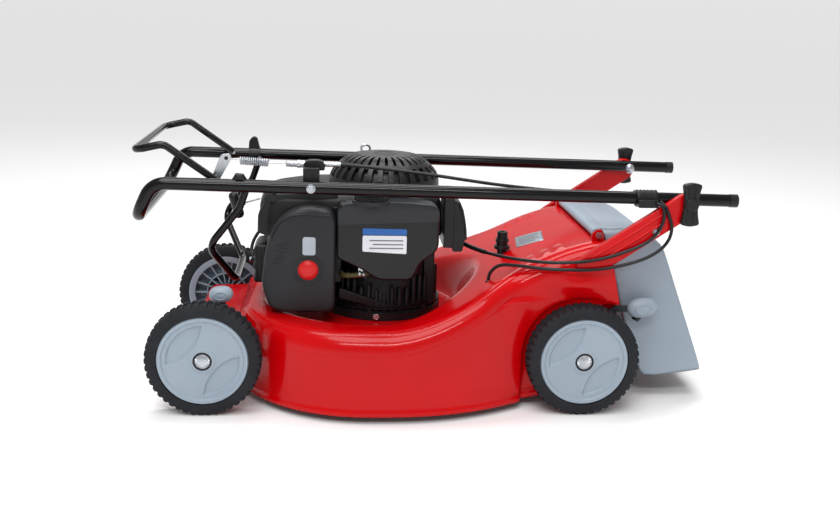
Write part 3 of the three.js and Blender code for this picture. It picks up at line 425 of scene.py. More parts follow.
def bent_path(corners, bend, arc_steps=10, run_step=60):
    """Straight runs in millimetres joined by round bends, as Vectors in metres."""
    places = [Vector(corner) for corner in corners]
    path = [places[0]]
    for before, corner, after in zip(places, places[1:], places[2:]):
        inward = (corner - before).normalized()
        outward = (after - corner).normalized()
        turn = inward.angle(outward)
        reach = bend * math.tan(turn / 2)
        side = (outward - inward * math.cos(turn)).normalized()
        start = corner - inward * reach
        middle = start + side * bend
        for step in range(arc_steps + 1):
            angle = turn * step / arc_steps
            path.append(middle - side * bend * math.cos(angle) + inward * bend * math.sin(angle))
    path.append(places[-1])
    full = [path[0]]
    for here, there in zip(path, path[1:]):
        parts = max(1, round((there - here).length / run_step))
        full.extend(here.lerp(there, part / parts) for part in range(1, parts + 1))
    return [spot(*point) for point in full]


def smooth_path(route, steps):
    """A Catmull-Rom curve through places in millimetres, as Vectors in metres."""
    places = [Vector(point) for point in route]
    ends = [places[0] * 2 - places[1]] + places + [places[-1] * 2 - places[-2]]
    knots = [0.0]
    for here, there in zip(ends, ends[1:]):
        knots.append(knots[-1] + max(1e-6, (there - here).length) ** 0.5)
    path = []
    spans = len(places) - 1
    for step in range(steps + 1):
        along = knots[1] + (knots[-2] - knots[1]) * step / steps
        i = max(1, min(spans, sum(1 for knot in knots[1:-1] if knot <= along)))
        path.append(spot(*catmull(ends[i - 1:i + 3], knots[i - 1:i + 3], along)))
    return path


def catmull(points, knots, along):
    """Barry and Goldman's centripetal curve between the middle two of four points."""
    level = list(points)
    for width in (1, 2, 3):
        following = []
        for i in range(len(level) - 1):
            start, end = knots[i], knots[i + width]
            share = (along - start) / (end - start)
            following.append(level[i] * (1 - share) + level[i + 1] * share)
        level = following
    return level[0]


def tube(name, path, radius, material, sides=24, radii=None, smooth=50):
    """A round tube along a path, with one radius or one for each point."""
    points, faces = skin(tube_rings(path, radius, sides, radii))
    return make_object(name, points, faces, material, smooth)


def lathe(name, profile, material, centre=(0, 0, 0), axis=(0, 0, 1), segments=64, smooth=35):
    """Turns a closed profile of (radius, distance along the axis) round an axis through centre."""
    turn = Vector((0, 0, 1)).rotation_difference(Vector(axis)).to_matrix()
    rings = []
    for k in range(segments):
        angle = 2 * math.pi * k / segments
        rings.append([spot(*centre) + turn @ Vector((radius * math.cos(angle), radius * math.sin(angle),
                                                     along)) * MM for radius, along in profile])
    points, faces = skin(rings, closed_path=True)
    return make_object(name, points, faces, material, smooth)


def round_corners(outline, radius, steps=5):
    """The outline of (a, b) points with each corner rounded; radius may be one per corner."""
    soft = []
    count = len(outline)
    for i in range(count):
        corner = Vector(outline[i])
        before = Vector(outline[i - 1])
        after = Vector(outline[(i + 1) % count])
        wanted = radius[i] if isinstance(radius, (list, tuple)) else radius
        reach = min(wanted, (corner - before).length / 2.1, (corner - after).length / 2.1)
        enter = corner + (before - corner).normalized() * reach
        leave = corner + (after - corner).normalized() * reach
        for step in range(steps + 1):
            t = step / steps
            soft.append(enter * (1 - t) ** 2 + corner * 2 * t * (1 - t) + leave * t ** 2)
    return soft


def rectangle(left, low, right, high, radius):
    """A rectangle's outline with rounded corners."""
    return round_corners([(left, low), (right, low), (right, high), (left, high)], radius)


def slab(name, outline, low, high, material, axis="y", bevel_mm=1.5, segments=3, smooth=35):
    """An outline of two coordinates made solid between two planes across the third axis."""
    def lift(a, b, level):
        order = {"x": (level, a, b), "y": (a, level, b), "z": (a, b, level)}
        return spot(*order[axis])
    rings = [[lift(a, b, level) for a, b in outline] for level in (low, high)]
    points, faces = skin(rings)
    body = make_object(name, points, faces, material, smooth)
    if bevel_mm:
        bevel(body, bevel_mm, segments, smooth)
    return body


# Deck: one pressed sheet, narrow over the rear wheels' fenders and round in front

DECK_CENTRE = (-285, 37)
DECK_ARC = 239.9
DECK_FRONT = DECK_CENTRE[0] + DECK_ARC
DECK_REAR = -715
SHOULDER = 35
SHEET = 3
LIP = 14
REAR_HALF = 162
TAIL_START = -310
TAIL_END = -568
SKIRT_HALF = 190
FENDER_HALF = 195.5
FENDER_LOW = 205
WELL_FLOOR = 135
WELL_RADIUS = 168
CREST = 158
REAR_CREST = 303
REAR_SLANT = 0.22
PIVOT_FRONT = (-33, 77)
PIVOT_REAR = (-611, 77)


def mix(low, high, share):
    return low + (high - low) * share


def ramp(value, start, end):
    """0 before start, 1 after end, and a smooth rise between them."""
    share = min(1, max(0, (value - start) / (end - start)))
    return share * share * (3 - 2 * share)


def half_width(x):
    """The deck's half width at X: an arc in front, sweeping in to the fenders behind."""
    along = min(DECK_ARC, abs(x - DECK_CENTRE[0]))
    arc = DECK_CENTRE[1] + math.sqrt(DECK_ARC ** 2 - along ** 2)
    if x >= DECK_CENTRE[0]:
        return arc
    widest = DECK_CENTRE[1] + DECK_ARC
    share = max(0, (TAIL_START - x) / (TAIL_START - TAIL_END))
    sweep = widest - (widest - FENDER_HALF) * share ** 2.3
    return (sweep + FENDER_HALF + math.hypot(sweep - FENDER_HALF, 9 * min(1, share))) / 2


def wheel_arch(x, z, wall):
    """The wall's half width near the rear wheel: close behind its tyre, and farther in at its crank."""
    from_wheel = math.hypot(x + WHEELBASE, max(0, z - WHEEL_RADIUS))
    wall = mix(wall, min(wall, SKIRT_HALF), 1 - ramp(from_wheel, 101, 107))
    inside = 1 - ramp(math.hypot(x + WHEELBASE, z - WHEEL_RADIUS), 84, 92)
    below = ramp(-x, 594, 602) * (1 - ramp(z, 100, 112))
    behind = ramp(-x, 684, 692) * (1 - ramp(z, 186, 194))
    return mix(wall, REAR_HALF, max(inside, below, behind))


def swelling(x, z):
    """Two soft pressed swellings in the fender's side, above the wheel."""
    first = math.exp(-((x + 652) / 32) ** 2 - ((z - 233) / 13) ** 2)
    second = math.exp(-((x + 612) / 20) ** 2 - ((z - 249) / 14) ** 2)
    return 9 * first + 6 * second


def deck_top(x, y, height):
    """The skin's height: a flat well for the engine inside the raised ring, and pressed ribs behind."""
    from_engine = math.hypot(x + 290, y)
    well = 1 - ramp(from_engine, WELL_RADIUS, WELL_RADIUS + 38)
    level = mix(height, min(height, WELL_FLOOR), well)
    return level + fender_ribs(x, y)


def fender_ribs(x, y):
    """Three shallow ribs across each rear fender."""
    lift = 0
    for middle in (-575, -600, -625):
        lift += 2.2 * max(0, 1 - abs(x - middle) / 8) ** 0.7
    return lift * ramp(abs(y), 120, 140) * (1 - ramp(abs(y), 172, 184))


def deck_section(x):
    """Half of the cross-section at X, from the rolled lip up to the middle."""
    near_front = min(SHOULDER, max(0, DECK_FRONT - x))
    round_off = SHOULDER - math.sqrt(max(0, SHOULDER ** 2 - (SHOULDER - near_front) ** 2))
    height = mix(CREST, REAR_CREST, ramp(-x, 310, 710)) - round_off
    rear = ramp(-x, 480, 590)
    low = half_width(x)
    bottom = mix(LIP, 45, ramp(-x, 540, 715))
    high = mix(low - min(8, low / 4), FENDER_HALF, rear)
    radius = min(SHOULDER, high * 0.8)
    wall_top = min(FENDER_LOW - 4, height - radius - 6)
    foot = wheel_arch(x, bottom, low)
    points = [(foot - 3.4, bottom - 0.5), (foot - 1.2, bottom), (foot, bottom + 3), (foot, bottom + 6),
              (foot - 1.2, bottom + 9), (foot - 2.8, bottom + 11.5), (foot - 3.2, bottom + 15)]
    base = low - 3.2 * (1 - ramp(-x, 500, 560))
    for step in range(1, 41):
        share = step / 40
        z = mix(bottom + 15, wall_top, share)
        wall = mix(base, mix(high + 0.5, base, rear), share)
        points.append((wheel_arch(x, z, wall), z))
    top_wall = points[-1][0]
    points.append((mix(top_wall, high, 0.5), wall_top + 3))
    points.append((high, wall_top + 8 if rear > 0.5 else wall_top + 4))
    start = points[-1][1]
    shoulder_base = height - radius
    for step in range(1, 7):
        z = mix(start, shoulder_base, step / 7)
        points.append((high + swelling(x, z) * rear, z))
    for step in range(10):
        angle = math.pi / 2 * step / 9
        z = height - radius * (1 - math.sin(angle))
        points.append((high - radius * (1 - math.cos(angle)) + swelling(x, z) * rear * math.cos(angle), z))
    for step in range(1, 29):
        y = (high - radius) * (1 - step / 28)
        points.append((y, deck_top(x, y, height)))
    return points


def deck_ring(x):
    """The whole cross-section at X, leaning back at the rear."""
    half = deck_section(x)
    section = half + [(-y, z) for y, z in reversed(half[:-1])]
    lean = REAR_SLANT * ramp(-x, 640, -DECK_REAR)
    return [(x - lean * (258 - z), y, z) for y, z in section]


def deck_stations():
    turns = (*range(0, 14, 2), *range(14, 26, 3), *range(26, 91, 4))
    front = [DECK_CENTRE[0] + DECK_ARC * math.sin(math.radians(90 - turn)) for turn in turns]
    rear = [DECK_CENTRE[0] - 7 * step for step in range(1, 37)] + [-540 - 3 * step for step in range(58)]
    return front + rear + [DECK_REAR]


def make_deck_sheet():
    """The deck's skin through its stations, closed behind round the tunnel's mouth."""
    rings = [deck_ring(x) for x in deck_stations()]
    mouth = [(DECK_REAR - REAR_SLANT * (258 - min(z, 268)), math.copysign(min(abs(y), 142), y), min(z, 268))
             for x, y, z in rings[-1]]
    points, faces = skin([[spot(*point) for point in ring] for ring in rings + [mouth]],
                         closed_ring=False, caps=False)
    count = len(rings[0])
    for i in range(count // 2 - 1):
        faces.append((i + 1, i, count - 1 - i, count - 2 - i))
    sheet = make_object("deck_pressing", points, faces, RED_PAINT, 38)
    add_modifier(sheet, "SOLIDIFY", thickness=SHEET * MM, offset=-1)
    return sheet


def cut_box(body, low, high):
    """Takes a box in millimetres out of a body."""
    corners = [(x, y, z) for x in (low[0], high[0]) for y in (low[1], high[1]) for z in (low[2], high[2])]
    faces = [(0, 1, 3, 2), (4, 6, 7, 5), (0, 4, 5, 1), (2, 3, 7, 6), (0, 2, 6, 4), (1, 5, 7, 3)]
    cutter = make_object("cutter", [spot(*corner) for corner in corners], faces, RED_PAINT)
    settle(body)
    modifier = add_modifier(body, "BOOLEAN", operation="DIFFERENCE", solver="EXACT")
    modifier.object = cutter
    settle(body)
    bpy.data.objects.remove(cutter, do_unlink=True)
    soften(body, 38)


def sector_outline(pivot, start, end):
    """The notched edge of a height sector round an axle's pivot."""
    outline = []
    for step in range(25):
        angle = math.radians(mix(start, end, step / 24))
        reach = 88 if (step // 2) % 2 else 96
        outline.append((pivot[0] + reach * math.cos(angle), pivot[1] + reach * math.sin(angle)))
    for step in range(7):
        angle = math.radians(mix(end, start, step / 6))
        outline.append((pivot[0] + 66 * math.cos(angle), pivot[1] + 66 * math.sin(angle)))
    return outline


def make_deck():
    """The pressed sheet, its front shelf and fold, the height sectors and the flap's lugs."""
    sheet = make_deck_sheet()
    cut_box(sheet, (-664, -180, 10), (-623, 180, 79))
    place(sheet, "chassis", "deck_shell")
    shelf_outline = round_corners([(-90, 62), (30, 62), (36, 112), (22, 131), (-90, 134)],
                                  [0, 4, 12, 16, 0])
    shelf = slab("deck_front_shelf", shelf_outline, -150, 150, RED_PAINT, bevel_mm=6, segments=5)
    place(shelf, "chassis", slot="red_steel")
    fold_outline = round_corners([(-66, 134), (-58, 134), (-50, 141), (-56, 149), (-66, 149)], 3)
    fold = slab("deck_front_fold", fold_outline, -146, 146, RED_PAINT, bevel_mm=2)
    place(fold, "chassis", slot="red_steel")
    for name, pivot, start, end, y in (("front", PIVOT_FRONT, 100, 25, 150),
                                       ("rear", PIVOT_REAR, 195, 135, REAR_HALF)):
        plate = slab(f"{name}_sector_plate", sector_outline(pivot, start, end),
                     y - 1, y + 1, RED_PAINT, bevel_mm=0.3, segments=1)
        place(plate, "chassis", slot="red_steel")
    lug = round_corners([(-680, 285), (-680, 314), (-688, 322), (-698, 322), (-702, 312), (-702, 285)], 3)
    for side, y in (("left", 156), ("right", -156)):
        place(slab(f"flap_lug_{side}", lug, y - 2, y + 2, RED_PAINT, bevel_mm=0.5),
              "chassis", slot="red_steel")


# Wheels: treaded tyre, dished disc with two lens-shaped windows, and a push-on cap

WHEELS = {"front_left": (0, 1), "front_right": (0, -1),
          "rear_left": (-WHEELBASE, 1), "rear_right": (-WHEELBASE, -1)}
TREAD_COUNT = 46


def make_tyre(name, x, side):
    """A ring whose tread carries staggered lugs on both shoulders."""
    across = [(-22, 79), (-22.4, 84), (-21.6, 89.5), (-19.5, 94.4), (-17, 96.4), (-6.5, 97.1),
              (-5.3, 97.1), (-4.6, 96.4), (4.6, 96.4), (5.3, 97.1), (6.5, 97.1), (17, 96.4),
              (19.5, 94.4), (21.6, 89.5), (22.4, 84), (22, 79), (16, 78.3), (-16, 78.3)]
    lug_height = {2: 0.9, 3: 1.8, 4: 2.6, 5: 2.8, 6: 2.8, 9: 2.8, 10: 2.8, 11: 2.6, 12: 1.8, 13: 0.9}
    rings = []
    steps = TREAD_COUNT * 8
    for k in range(steps):
        angle = 2 * math.pi * k / steps
        ring = []
        for i, (y, radius) in enumerate(across):
            stagger = 0 if y < 0 else 4
            raised = 1 <= (k + stagger) % 8 <= 5
            reach = min(WHEEL_RADIUS, radius + lug_height.get(i, 0) * raised)
            ring.append(spot(x + reach * math.cos(angle), side * (WHEEL_Y + y),
                             WHEEL_RADIUS + reach * math.sin(angle)))
        rings.append(ring)
    points, faces = skin(rings, closed_path=True)
    tyre = make_object(f"{name}_treaded_tyre", points, faces, TYRE_RUBBER, 30)
    return place(tyre, f"{name}_wheel", f"{name}_tyre")


def lens_depth(a, b, side):
    """How deep a window is at a place on the disc: two leaf shapes either side of a slanting band."""
    right = -side * a
    over = right * math.sin(math.radians(49)) - b * math.cos(math.radians(49))
    along = right * math.cos(math.radians(49)) + b * math.sin(math.radians(49))
    from_leaf = math.hypot(abs(over) - 104, along)
    inside_leaf = 1 - ramp(from_leaf, 76, 78.6)
    inside_rim = 1 - ramp(math.hypot(a, b), 60.5, 63)
    return 4.2 * inside_rim * inside_leaf


def make_disc(name, x, side):
    """A disc face as a fine polar grid, dished round the hub and pressed in at its windows."""
    boss_radii = [14.5, 15.5, 17, 19, 21, 23]
    face_radii = [23 + 1.6 * step for step in range(1, 26)]
    rim_radii = [64.5, 66, 67.5, 69, 70.2, 71.4, 73, 75, 76.5, 77.6, 78.3]
    radii = boss_radii + face_radii + rim_radii
    spokes = 180
    rings = []
    for k in range(spokes):
        angle = 2 * math.pi * k / spokes
        ring = []
        for radius in radii:
            a, b = radius * math.cos(angle), radius * math.sin(angle)
            face = disc_face(radius) - lens_depth(a, b, side)
            ring.append(spot(x + a, side * (WHEEL_Y + face), WHEEL_RADIUS + b))
        for radius, face in ((78.3, -21), (76, -22), (66, -20), (64, 8), (15, 10), (14, -21), (8, -21)):
            ring.append(spot(x + radius * math.cos(angle), side * (WHEEL_Y + face),
                             WHEEL_RADIUS + radius * math.sin(angle)))
        ring.append(spot(x + 8 * math.cos(angle), side * (WHEEL_Y + 17),
                         WHEEL_RADIUS + 8 * math.sin(angle)))
        rings.append(ring)
    points, faces = skin(rings, closed_path=True)
    disc = make_object(f"{name}_dished_front", points, faces, GREY_PLASTIC, 32)
    ribs = [lathe(f"{name}_ring_rib", [(40, -17), (42, -17), (42, 10), (40, 10)],
                  GREY_PLASTIC, (x, side * WHEEL_Y, WHEEL_RADIUS), (0, side, 0), 64, 40)]
    for k in range(18):
        angle = 2 * math.pi * k / 18
        along = Vector((math.cos(angle), 0, math.sin(angle)))
        across_way = Vector((-math.sin(angle), 0, math.cos(angle)))
        foot = ((15, -1), (65, -1), (65, 1), (15, 1))
        corners = [(reach, push, level) for level in (-17, 10) for reach, push in foot]
        rib = [spot(x, side * (WHEEL_Y + level), WHEEL_RADIUS) + (along * reach + across_way * push) * MM
               for reach, push, level in corners]
        rib_faces = [(0, 1, 2, 3), (4, 7, 6, 5), (0, 4, 5, 1), (1, 5, 6, 2), (2, 6, 7, 3), (3, 7, 4, 0)]
        ribs.append(make_object(f"{name}_rib_{k}", rib, rib_faces, GREY_PLASTIC, 30))
    return place(merge(f"{name}_dished_disc", disc, *ribs), f"{name}_wheel", f"{name}_disc")


def disc_face(radius):
    """Height of the disc's outer face: a hub boss, a shallow dish, and a raised rim."""
    rim = 3.0 * ramp(radius, 69, 71.5) * (1 - ramp(radius, 76.5, 78.3))
    boss = 2.5 * (1 - ramp(radius, 19, 24))
    return 18.4 + rim + boss


def make_cap(name, x, side):
    """A sprung metal cap with a serrated flange and a domed middle."""
    steps = 72
    rings = []
    profile = [(7.5, 19.6), (12.9, 20.4), (13.2, 20.9), (11.8, 21.5),
               (9.4, 21.0), (7.6, 21.6), (4.4, 22.3), (0.4, 22.45)]
    for k in range(steps):
        angle = 2 * math.pi * k / steps
        ring = []
        for i, (radius, face) in enumerate(profile):
            dip = 1.1 if k % 4 < 2 and i in (2, 3) else 0
            ring.append(spot(x + radius * math.cos(angle), side * (WHEEL_Y + face - dip),
                             WHEEL_RADIUS + radius * math.sin(angle)))
        rings.append(ring)
    points, faces = skin(rings, closed_path=True)
    cap = make_object(f"{name}_cap_dome", points, faces, ZINC, 25)
    ring = lathe(f"{name}_cap_ring", [(13, 20.4), (16.4, 20.4), (16.4, 21.1), (13, 21.4)],
                 DARK_STEEL, (x, side * WHEEL_Y, WHEEL_RADIUS), (0, side, 0), 48)
    return place(merge(f"{name}_hub_cap", cap, ring), f"{name}_wheel", slot="zinc")


def make_wheels():
    """Four wheels, each with its tyre, disc and cap."""
    for name, (x, side) in WHEELS.items():
        make_tyre(name, x, side)
        make_disc(name, x, side)
        make_cap(name, x, side)


# Handle: bent tube, two bails, their fittings, and the folding hardware

FOLD = (-835, 381)
RAIL_REAR = (-928, RAIL_Y, 383)
RAIL_CORNER = (84, RAIL_Y, 398.5)
CROSSBAR = (111.95, RAIL_Y, 338)
DRIVE_PIVOT = (-20, 402)
BRAKE_PIVOT = (-72, 390)
BRACKET_OUT = 209.3
CLIP_X = -764
CABLE_Y = 145
CABLE_Z = 429
CONTROL_BOLT_X = -182
TAB_TIP = (-36, 437)


def rail_height(x):
    """The height of the rails' middle line at X."""
    return mix(RAIL_REAR[2], RAIL_CORNER[2], (x - RAIL_REAR[0]) / (RAIL_CORNER[0] - RAIL_REAR[0]))


def both_halves(half):
    """A left-hand route followed by its mirror image."""
    return half + [(x, -y, z) for x, y, z in reversed(half)]


def rod(name, start, end, radius, material, bevel_mm=0.6, sides=32):
    """A straight round bar between two places in millimetres."""
    body = tube(name, [spot(*start), spot(*end)], radius, material, sides)
    if bevel_mm:
        bevel(body, bevel_mm, 2)
    return body


def across(name, x, z, low, high, radius, material, bevel_mm=0.6, sides=32):
    """A round bar that lies across the machine at X and Z."""
    return rod(name, (x, low, z), (x, high, z), radius, material, bevel_mm, sides)


def bolt_head(name, x, z, face, side, radius):
    """A hexagon bolt head on a washer, standing outward from a side face."""
    washer = across(f"{name}_washer", x, z, face, face + side * 1.4, radius * 1.25, ZINC, 0.4)
    head = across(f"{name}_head", x, z, face + side * 1.2, face + side * 6, radius, ZINC, 0.7, 6)
    return merge(name, washer, head)


def make_handle():
    """The bent tube with its end caps and everything that is fixed to it."""
    path = bent_path(both_halves([RAIL_REAR, RAIL_CORNER, CROSSBAR]), 36, arc_steps=14)
    place(tube("handle_tube", path, RAIL_RADIUS, BLACK_PAINT, 40), "handle", "handle_bar")
    for side, sign in (("left", 1), ("right", -1)):
        cap_path = [spot(-927.9, sign * RAIL_Y, 383), spot(-914, sign * RAIL_Y, 383.2)]
        place(tube(f"tube_end_{side}", cap_path, RAIL_RADIUS + 0.6, BLACK_PLASTIC, 32),
              "handle", slot="black_plastic")
        make_fold_knob(side, sign)
    place(bolt_head("control_bolt", CONTROL_BOLT_X, rail_height(CONTROL_BOLT_X),
                    RAIL_Y + RAIL_RADIUS - 0.6, 1, 6.2), "handle", slot="zinc")
    make_rail_fittings()
    make_bails()
    make_drive_control()
    make_cable_clip()


def make_fold_knob(side, sign):
    """A bow-tie grip outside the bracket, and a dome-headed bolt from inside the rail."""
    x, z = FOLD
    outline = [(-17, -35), (-12, -14), (-12, 14), (-17, 35), (0, 39),
               (17, 35), (13, 14), (13, -14), (17, -35), (0, -39)]
    soft = round_corners([(x + a, z + b) for a, b in outline], [5, 16, 16, 5, 10, 5, 16, 16, 5, 10])
    inner = BRACKET_OUT + 0.3
    wings = slab(f"grip_{side}", soft, sign * inner, sign * (inner + 13),
                 BLACK_PLASTIC, bevel_mm=4.5, segments=5)
    boss = across(f"grip_boss_{side}", x, z, sign * inner, sign * (inner + 17), 12, BLACK_PLASTIC, 2.5, 40)
    ribs = [slab(f"grip_rib_{side}_{k}", rectangle(x - 2 + k, z - 30, x + 2 + k, z + 30, 1.8),
                 sign * inner, sign * (inner + 14.6), BLACK_PLASTIC, bevel_mm=1.2) for k in (-6, 6)]
    grip = merge(f"folding_grip_{side}", wings, boss, *ribs)
    place(grip, f"fold_knob_{side}", f"fold_knob_{side}")
    face = RAIL_Y - RAIL_RADIUS - 0.3
    profile = [(0, -7), (4, -6.6), (7.5, -5.2), (9.6, -2.6), (10, -0.6), (9.6, 0), (4, 0), (4, 47), (0, 47)]
    bolt = lathe(f"dome_bolt_{side}", profile, ZINC, (x, sign * face, z), (0, sign, 0), 40)
    place(bolt, "handle", f"pivot_bolt_{side}")


def make_rail_fittings():
    """A rubber bump on the left rail, and a clamp and the starter rope's eye on the right one."""
    pivot_z = rail_height(-47)
    bump = [spot(-72, RAIL_Y, pivot_z + 9), spot(-66, RAIL_Y, pivot_z + 14),
            spot(-58, RAIL_Y, pivot_z + 15), spot(-52, RAIL_Y, pivot_z + 9)]
    cap = tube("rail_bump_cap", bump, 7, BLACK_PLASTIC, 28, radii=[3.5, 7, 7, 3.5])
    place(cap, "handle", slot="black_plastic")
    clamp_path = [spot(x, -RAIL_Y, rail_height(x)) for x in (-72, -50)]
    ring = tube("rail_clamp_band", clamp_path, RAIL_RADIUS + 2.4, BLACK_PLASTIC, 36)
    bevel(ring, 1)
    lump = slab("rail_clamp_lump",
                round_corners([(-74, 396), (-48, 396), (-50, 424), (-58, 432), (-66, 430)], 5),
                -RAIL_Y - 6, -RAIL_Y + 7, BLACK_PLASTIC, bevel_mm=2)
    place(merge("rail_clamp", ring, lump), "handle", slot="black_plastic")
    eye_z = rail_height(-285) + RAIL_RADIUS
    coil = []
    for step in range(90):
        turn = 2 * math.pi * 1.6 * step / 89
        coil.append(spot(-285 + 9 * math.sin(turn), -RAIL_Y + 14 * step / 89 - 7,
                         eye_z + 7 + 9 * math.cos(turn) * 0.85))
    stem = [spot(-285, -RAIL_Y, eye_z - 24), spot(-285, -RAIL_Y - 3, eye_z - 4)]
    eye = merge("rope_eye", tube("eye_coil", coil, 2.2, ZINC, 14), tube("eye_stem", stem, 2.6, ZINC, 16))
    place(eye, "handle", slot="zinc")


def make_bails():
    """The two bent levers with their pins, the drive bail's tab and the brake bail's plate."""
    drive_half = [(DRIVE_PIVOT[0], 166.2, DRIVE_PIVOT[1]), (66, 166.2, 462), (114.9, 166.2, 451)]
    drive = tube("drive_bail_bar", bent_path(both_halves(drive_half), 20, 14, 40),
                 BAIL_RADIUS, BLACK_PAINT, 24)
    brake_half = [(BRAKE_PIVOT[0], 151.5, BRAKE_PIVOT[1]),
                  (-58, 149.5, 350), (-3, 143.5, 279), (-44, 80, 205)]
    brake = tube("brake_bail_bar", bent_path(both_halves(brake_half), 32, 14, 40),
                 BAIL_RADIUS, BLACK_PAINT, 24)
    tab_outline = round_corners([(-10, 400), (-23, 396), (-46, 438), (-43, 446), (-28, 444)],
                                [4, 4, 4, 4, 4])
    tab = slab("drive_tab", tab_outline, 150, 153, ZINC, bevel_mm=0.5)
    tab_rivet = across("tab_rivet", -37, 438, 152.5, 155.5, 3.2, DARK_STEEL)
    weld = across("tab_weld", -18, 404, 151, 163, 4, ZINC)
    pins = [across(f"drive_pin_{sign}", *DRIVE_PIVOT, sign * 161, sign * 173.7, 4, ZINC)
            for sign in (-1, 1)]
    place(merge("drive_bail_shape", drive, tab, tab_rivet, weld, *pins), "drive_bail", "drive_bail")
    sleeves = [across(f"brake_pin_{sign}", *BRAKE_PIVOT, sign * 148, sign * 173.7, 4, ZINC)
               for sign in (-1, 1)]
    place(merge("brake_bail_shape", brake, *sleeves), "brake_bail", "brake_bail")
    plate_outline = round_corners([(-52, 347), (-38, 356), (-14, 340), (-24, 322), (-41, 325)], 3)
    plate = slab("brake_bail_plate", plate_outline, -155, -151, ZINC, bevel_mm=0.5)
    place(plate, "brake_bail", slot="zinc")


def helix(start, end, radius, turns, wire, name, material, steps=22):
    """A coil spring of round wire between two places in millimetres."""
    first, last = Vector(start), Vector(end)
    along = (last - first).normalized()
    side = along.cross(Vector((0, 1, 0))).normalized()
    other = along.cross(side)
    path = []
    count = int(turns * steps)
    for step in range(count + 1):
        angle = 2 * math.pi * turns * step / count
        middle = first.lerp(last, step / count)
        path.append(spot(*(middle + side * math.cos(angle) * radius + other * math.sin(angle) * radius)))
    return tube(name, path, wire, material, 10)


def make_drive_control():
    """The adjuster held in its bracket, the return spring, and the wire to the bail's tab."""
    bolt_z = rail_height(CONTROL_BOLT_X)
    body_outline = round_corners([(-205, 419), (-168, 419), (-168, 431), (-177, 437),
                                  (-196, 437), (-205, 432)], [4, 3, 4, 5, 4, 4])
    body = slab("bracket_body", body_outline, CABLE_Y - 8, CABLE_Y + 8, BLACK_PLASTIC, bevel_mm=1.5)
    foot_outline = rectangle(-196, bolt_z - 8, -168, 426, [8, 8, 2, 2])
    foot = slab("bracket_foot", foot_outline, CABLE_Y + 5,
                RAIL_Y - RAIL_RADIUS - 0.3, BLACK_PLASTIC, bevel_mm=1)
    barrel_profile = [(2.6, -232), (4.4, -232), (4.4, -207), (4.4, -170), (6.4, -170),
                      (6.4, -164), (5, -164), (5, -140), (4, -138), (2.6, -138)]
    barrel = lathe("adjuster_barrel", barrel_profile, ZINC, (0, CABLE_Y, CABLE_Z), (1, 0, 0), 28)
    nut = tube("adjuster_nut", [spot(-163.5, CABLE_Y, CABLE_Z), spot(-157, CABLE_Y, CABLE_Z)], 6.8, ZINC, 6)
    bevel(nut, 0.5)
    ribs = [lathe(f"barrel_rib_{k}",
                  [(3.4, -156 + 3 * k), (5.6, -155.5 + 3 * k), (5.6, -154.5 + 3 * k), (3.4, -154 + 3 * k)],
                  ZINC, (0, CABLE_Y, CABLE_Z), (1, 0, 0), 20) for k in range(4)]
    place(merge("cable_adjuster", body, foot, barrel, nut, *ribs), "handle", "cable_bracket")
    coil = helix((-108, CABLE_Y, 430), (-60, CABLE_Y, 433), 5.8, 13, 1.35, "return_coil", ZINC)
    hook_path = [spot(-60, CABLE_Y, 437), spot(-54, CABLE_Y + 1, 436),
                 spot(-46, CABLE_Y + 3, 436), spot(TAB_TIP[0] - 3, CABLE_Y + 4, TAB_TIP[1] - 1),
                 spot(TAB_TIP[0], 151, TAB_TIP[1]), spot(TAB_TIP[0] + 2, 155, TAB_TIP[1] + 1)]
    hook = tube("spring_hook", hook_path, 1.0, ZINC, 12)
    wire = tube("spring_wire", [spot(-107, CABLE_Y, 430), spot(-176, CABLE_Y, CABLE_Z)], 0.9, ZINC, 12)
    place(merge("return_spring", coil, hook, wire), "drive_cable_end", "cable_spring")


def make_cable_clip():
    """A ribbed band round the rail with a pocket for a cable on either side."""
    z = rail_height(CLIP_X)
    profile = [(RAIL_RADIUS + 0.3, -18), (RAIL_RADIUS + 3.4, -18), (RAIL_RADIUS + 4, -17)]
    for k in range(-2, 3):
        profile += [(RAIL_RADIUS + 4, 6.4 * k - 2.4), (RAIL_RADIUS + 3.2, 6.4 * k - 1.6),
                    (RAIL_RADIUS + 3.2, 6.4 * k + 1.6), (RAIL_RADIUS + 4, 6.4 * k + 2.4)]
    profile += [(RAIL_RADIUS + 4, 17), (RAIL_RADIUS + 3.4, 18), (RAIL_RADIUS + 0.3, 18)]
    band = lathe("clip_band", profile, BLACK_PLASTIC, (CLIP_X, RAIL_Y, z), (1, 0, 0), 48)
    inner = slab("clip_inner", rectangle(CLIP_X - 18, 380, CLIP_X + 18, 396, 3),
                 163, 175, BLACK_PLASTIC, bevel_mm=1.5)
    outer = slab("clip_outer", rectangle(CLIP_X - 18, 372, CLIP_X + 18, 386, 3),
                 195, 208, BLACK_PLASTIC, bevel_mm=1.5)
    place(merge("cable_clip_band", band, inner, outer), "handle", "cable_clip")


# Cables and starter rope

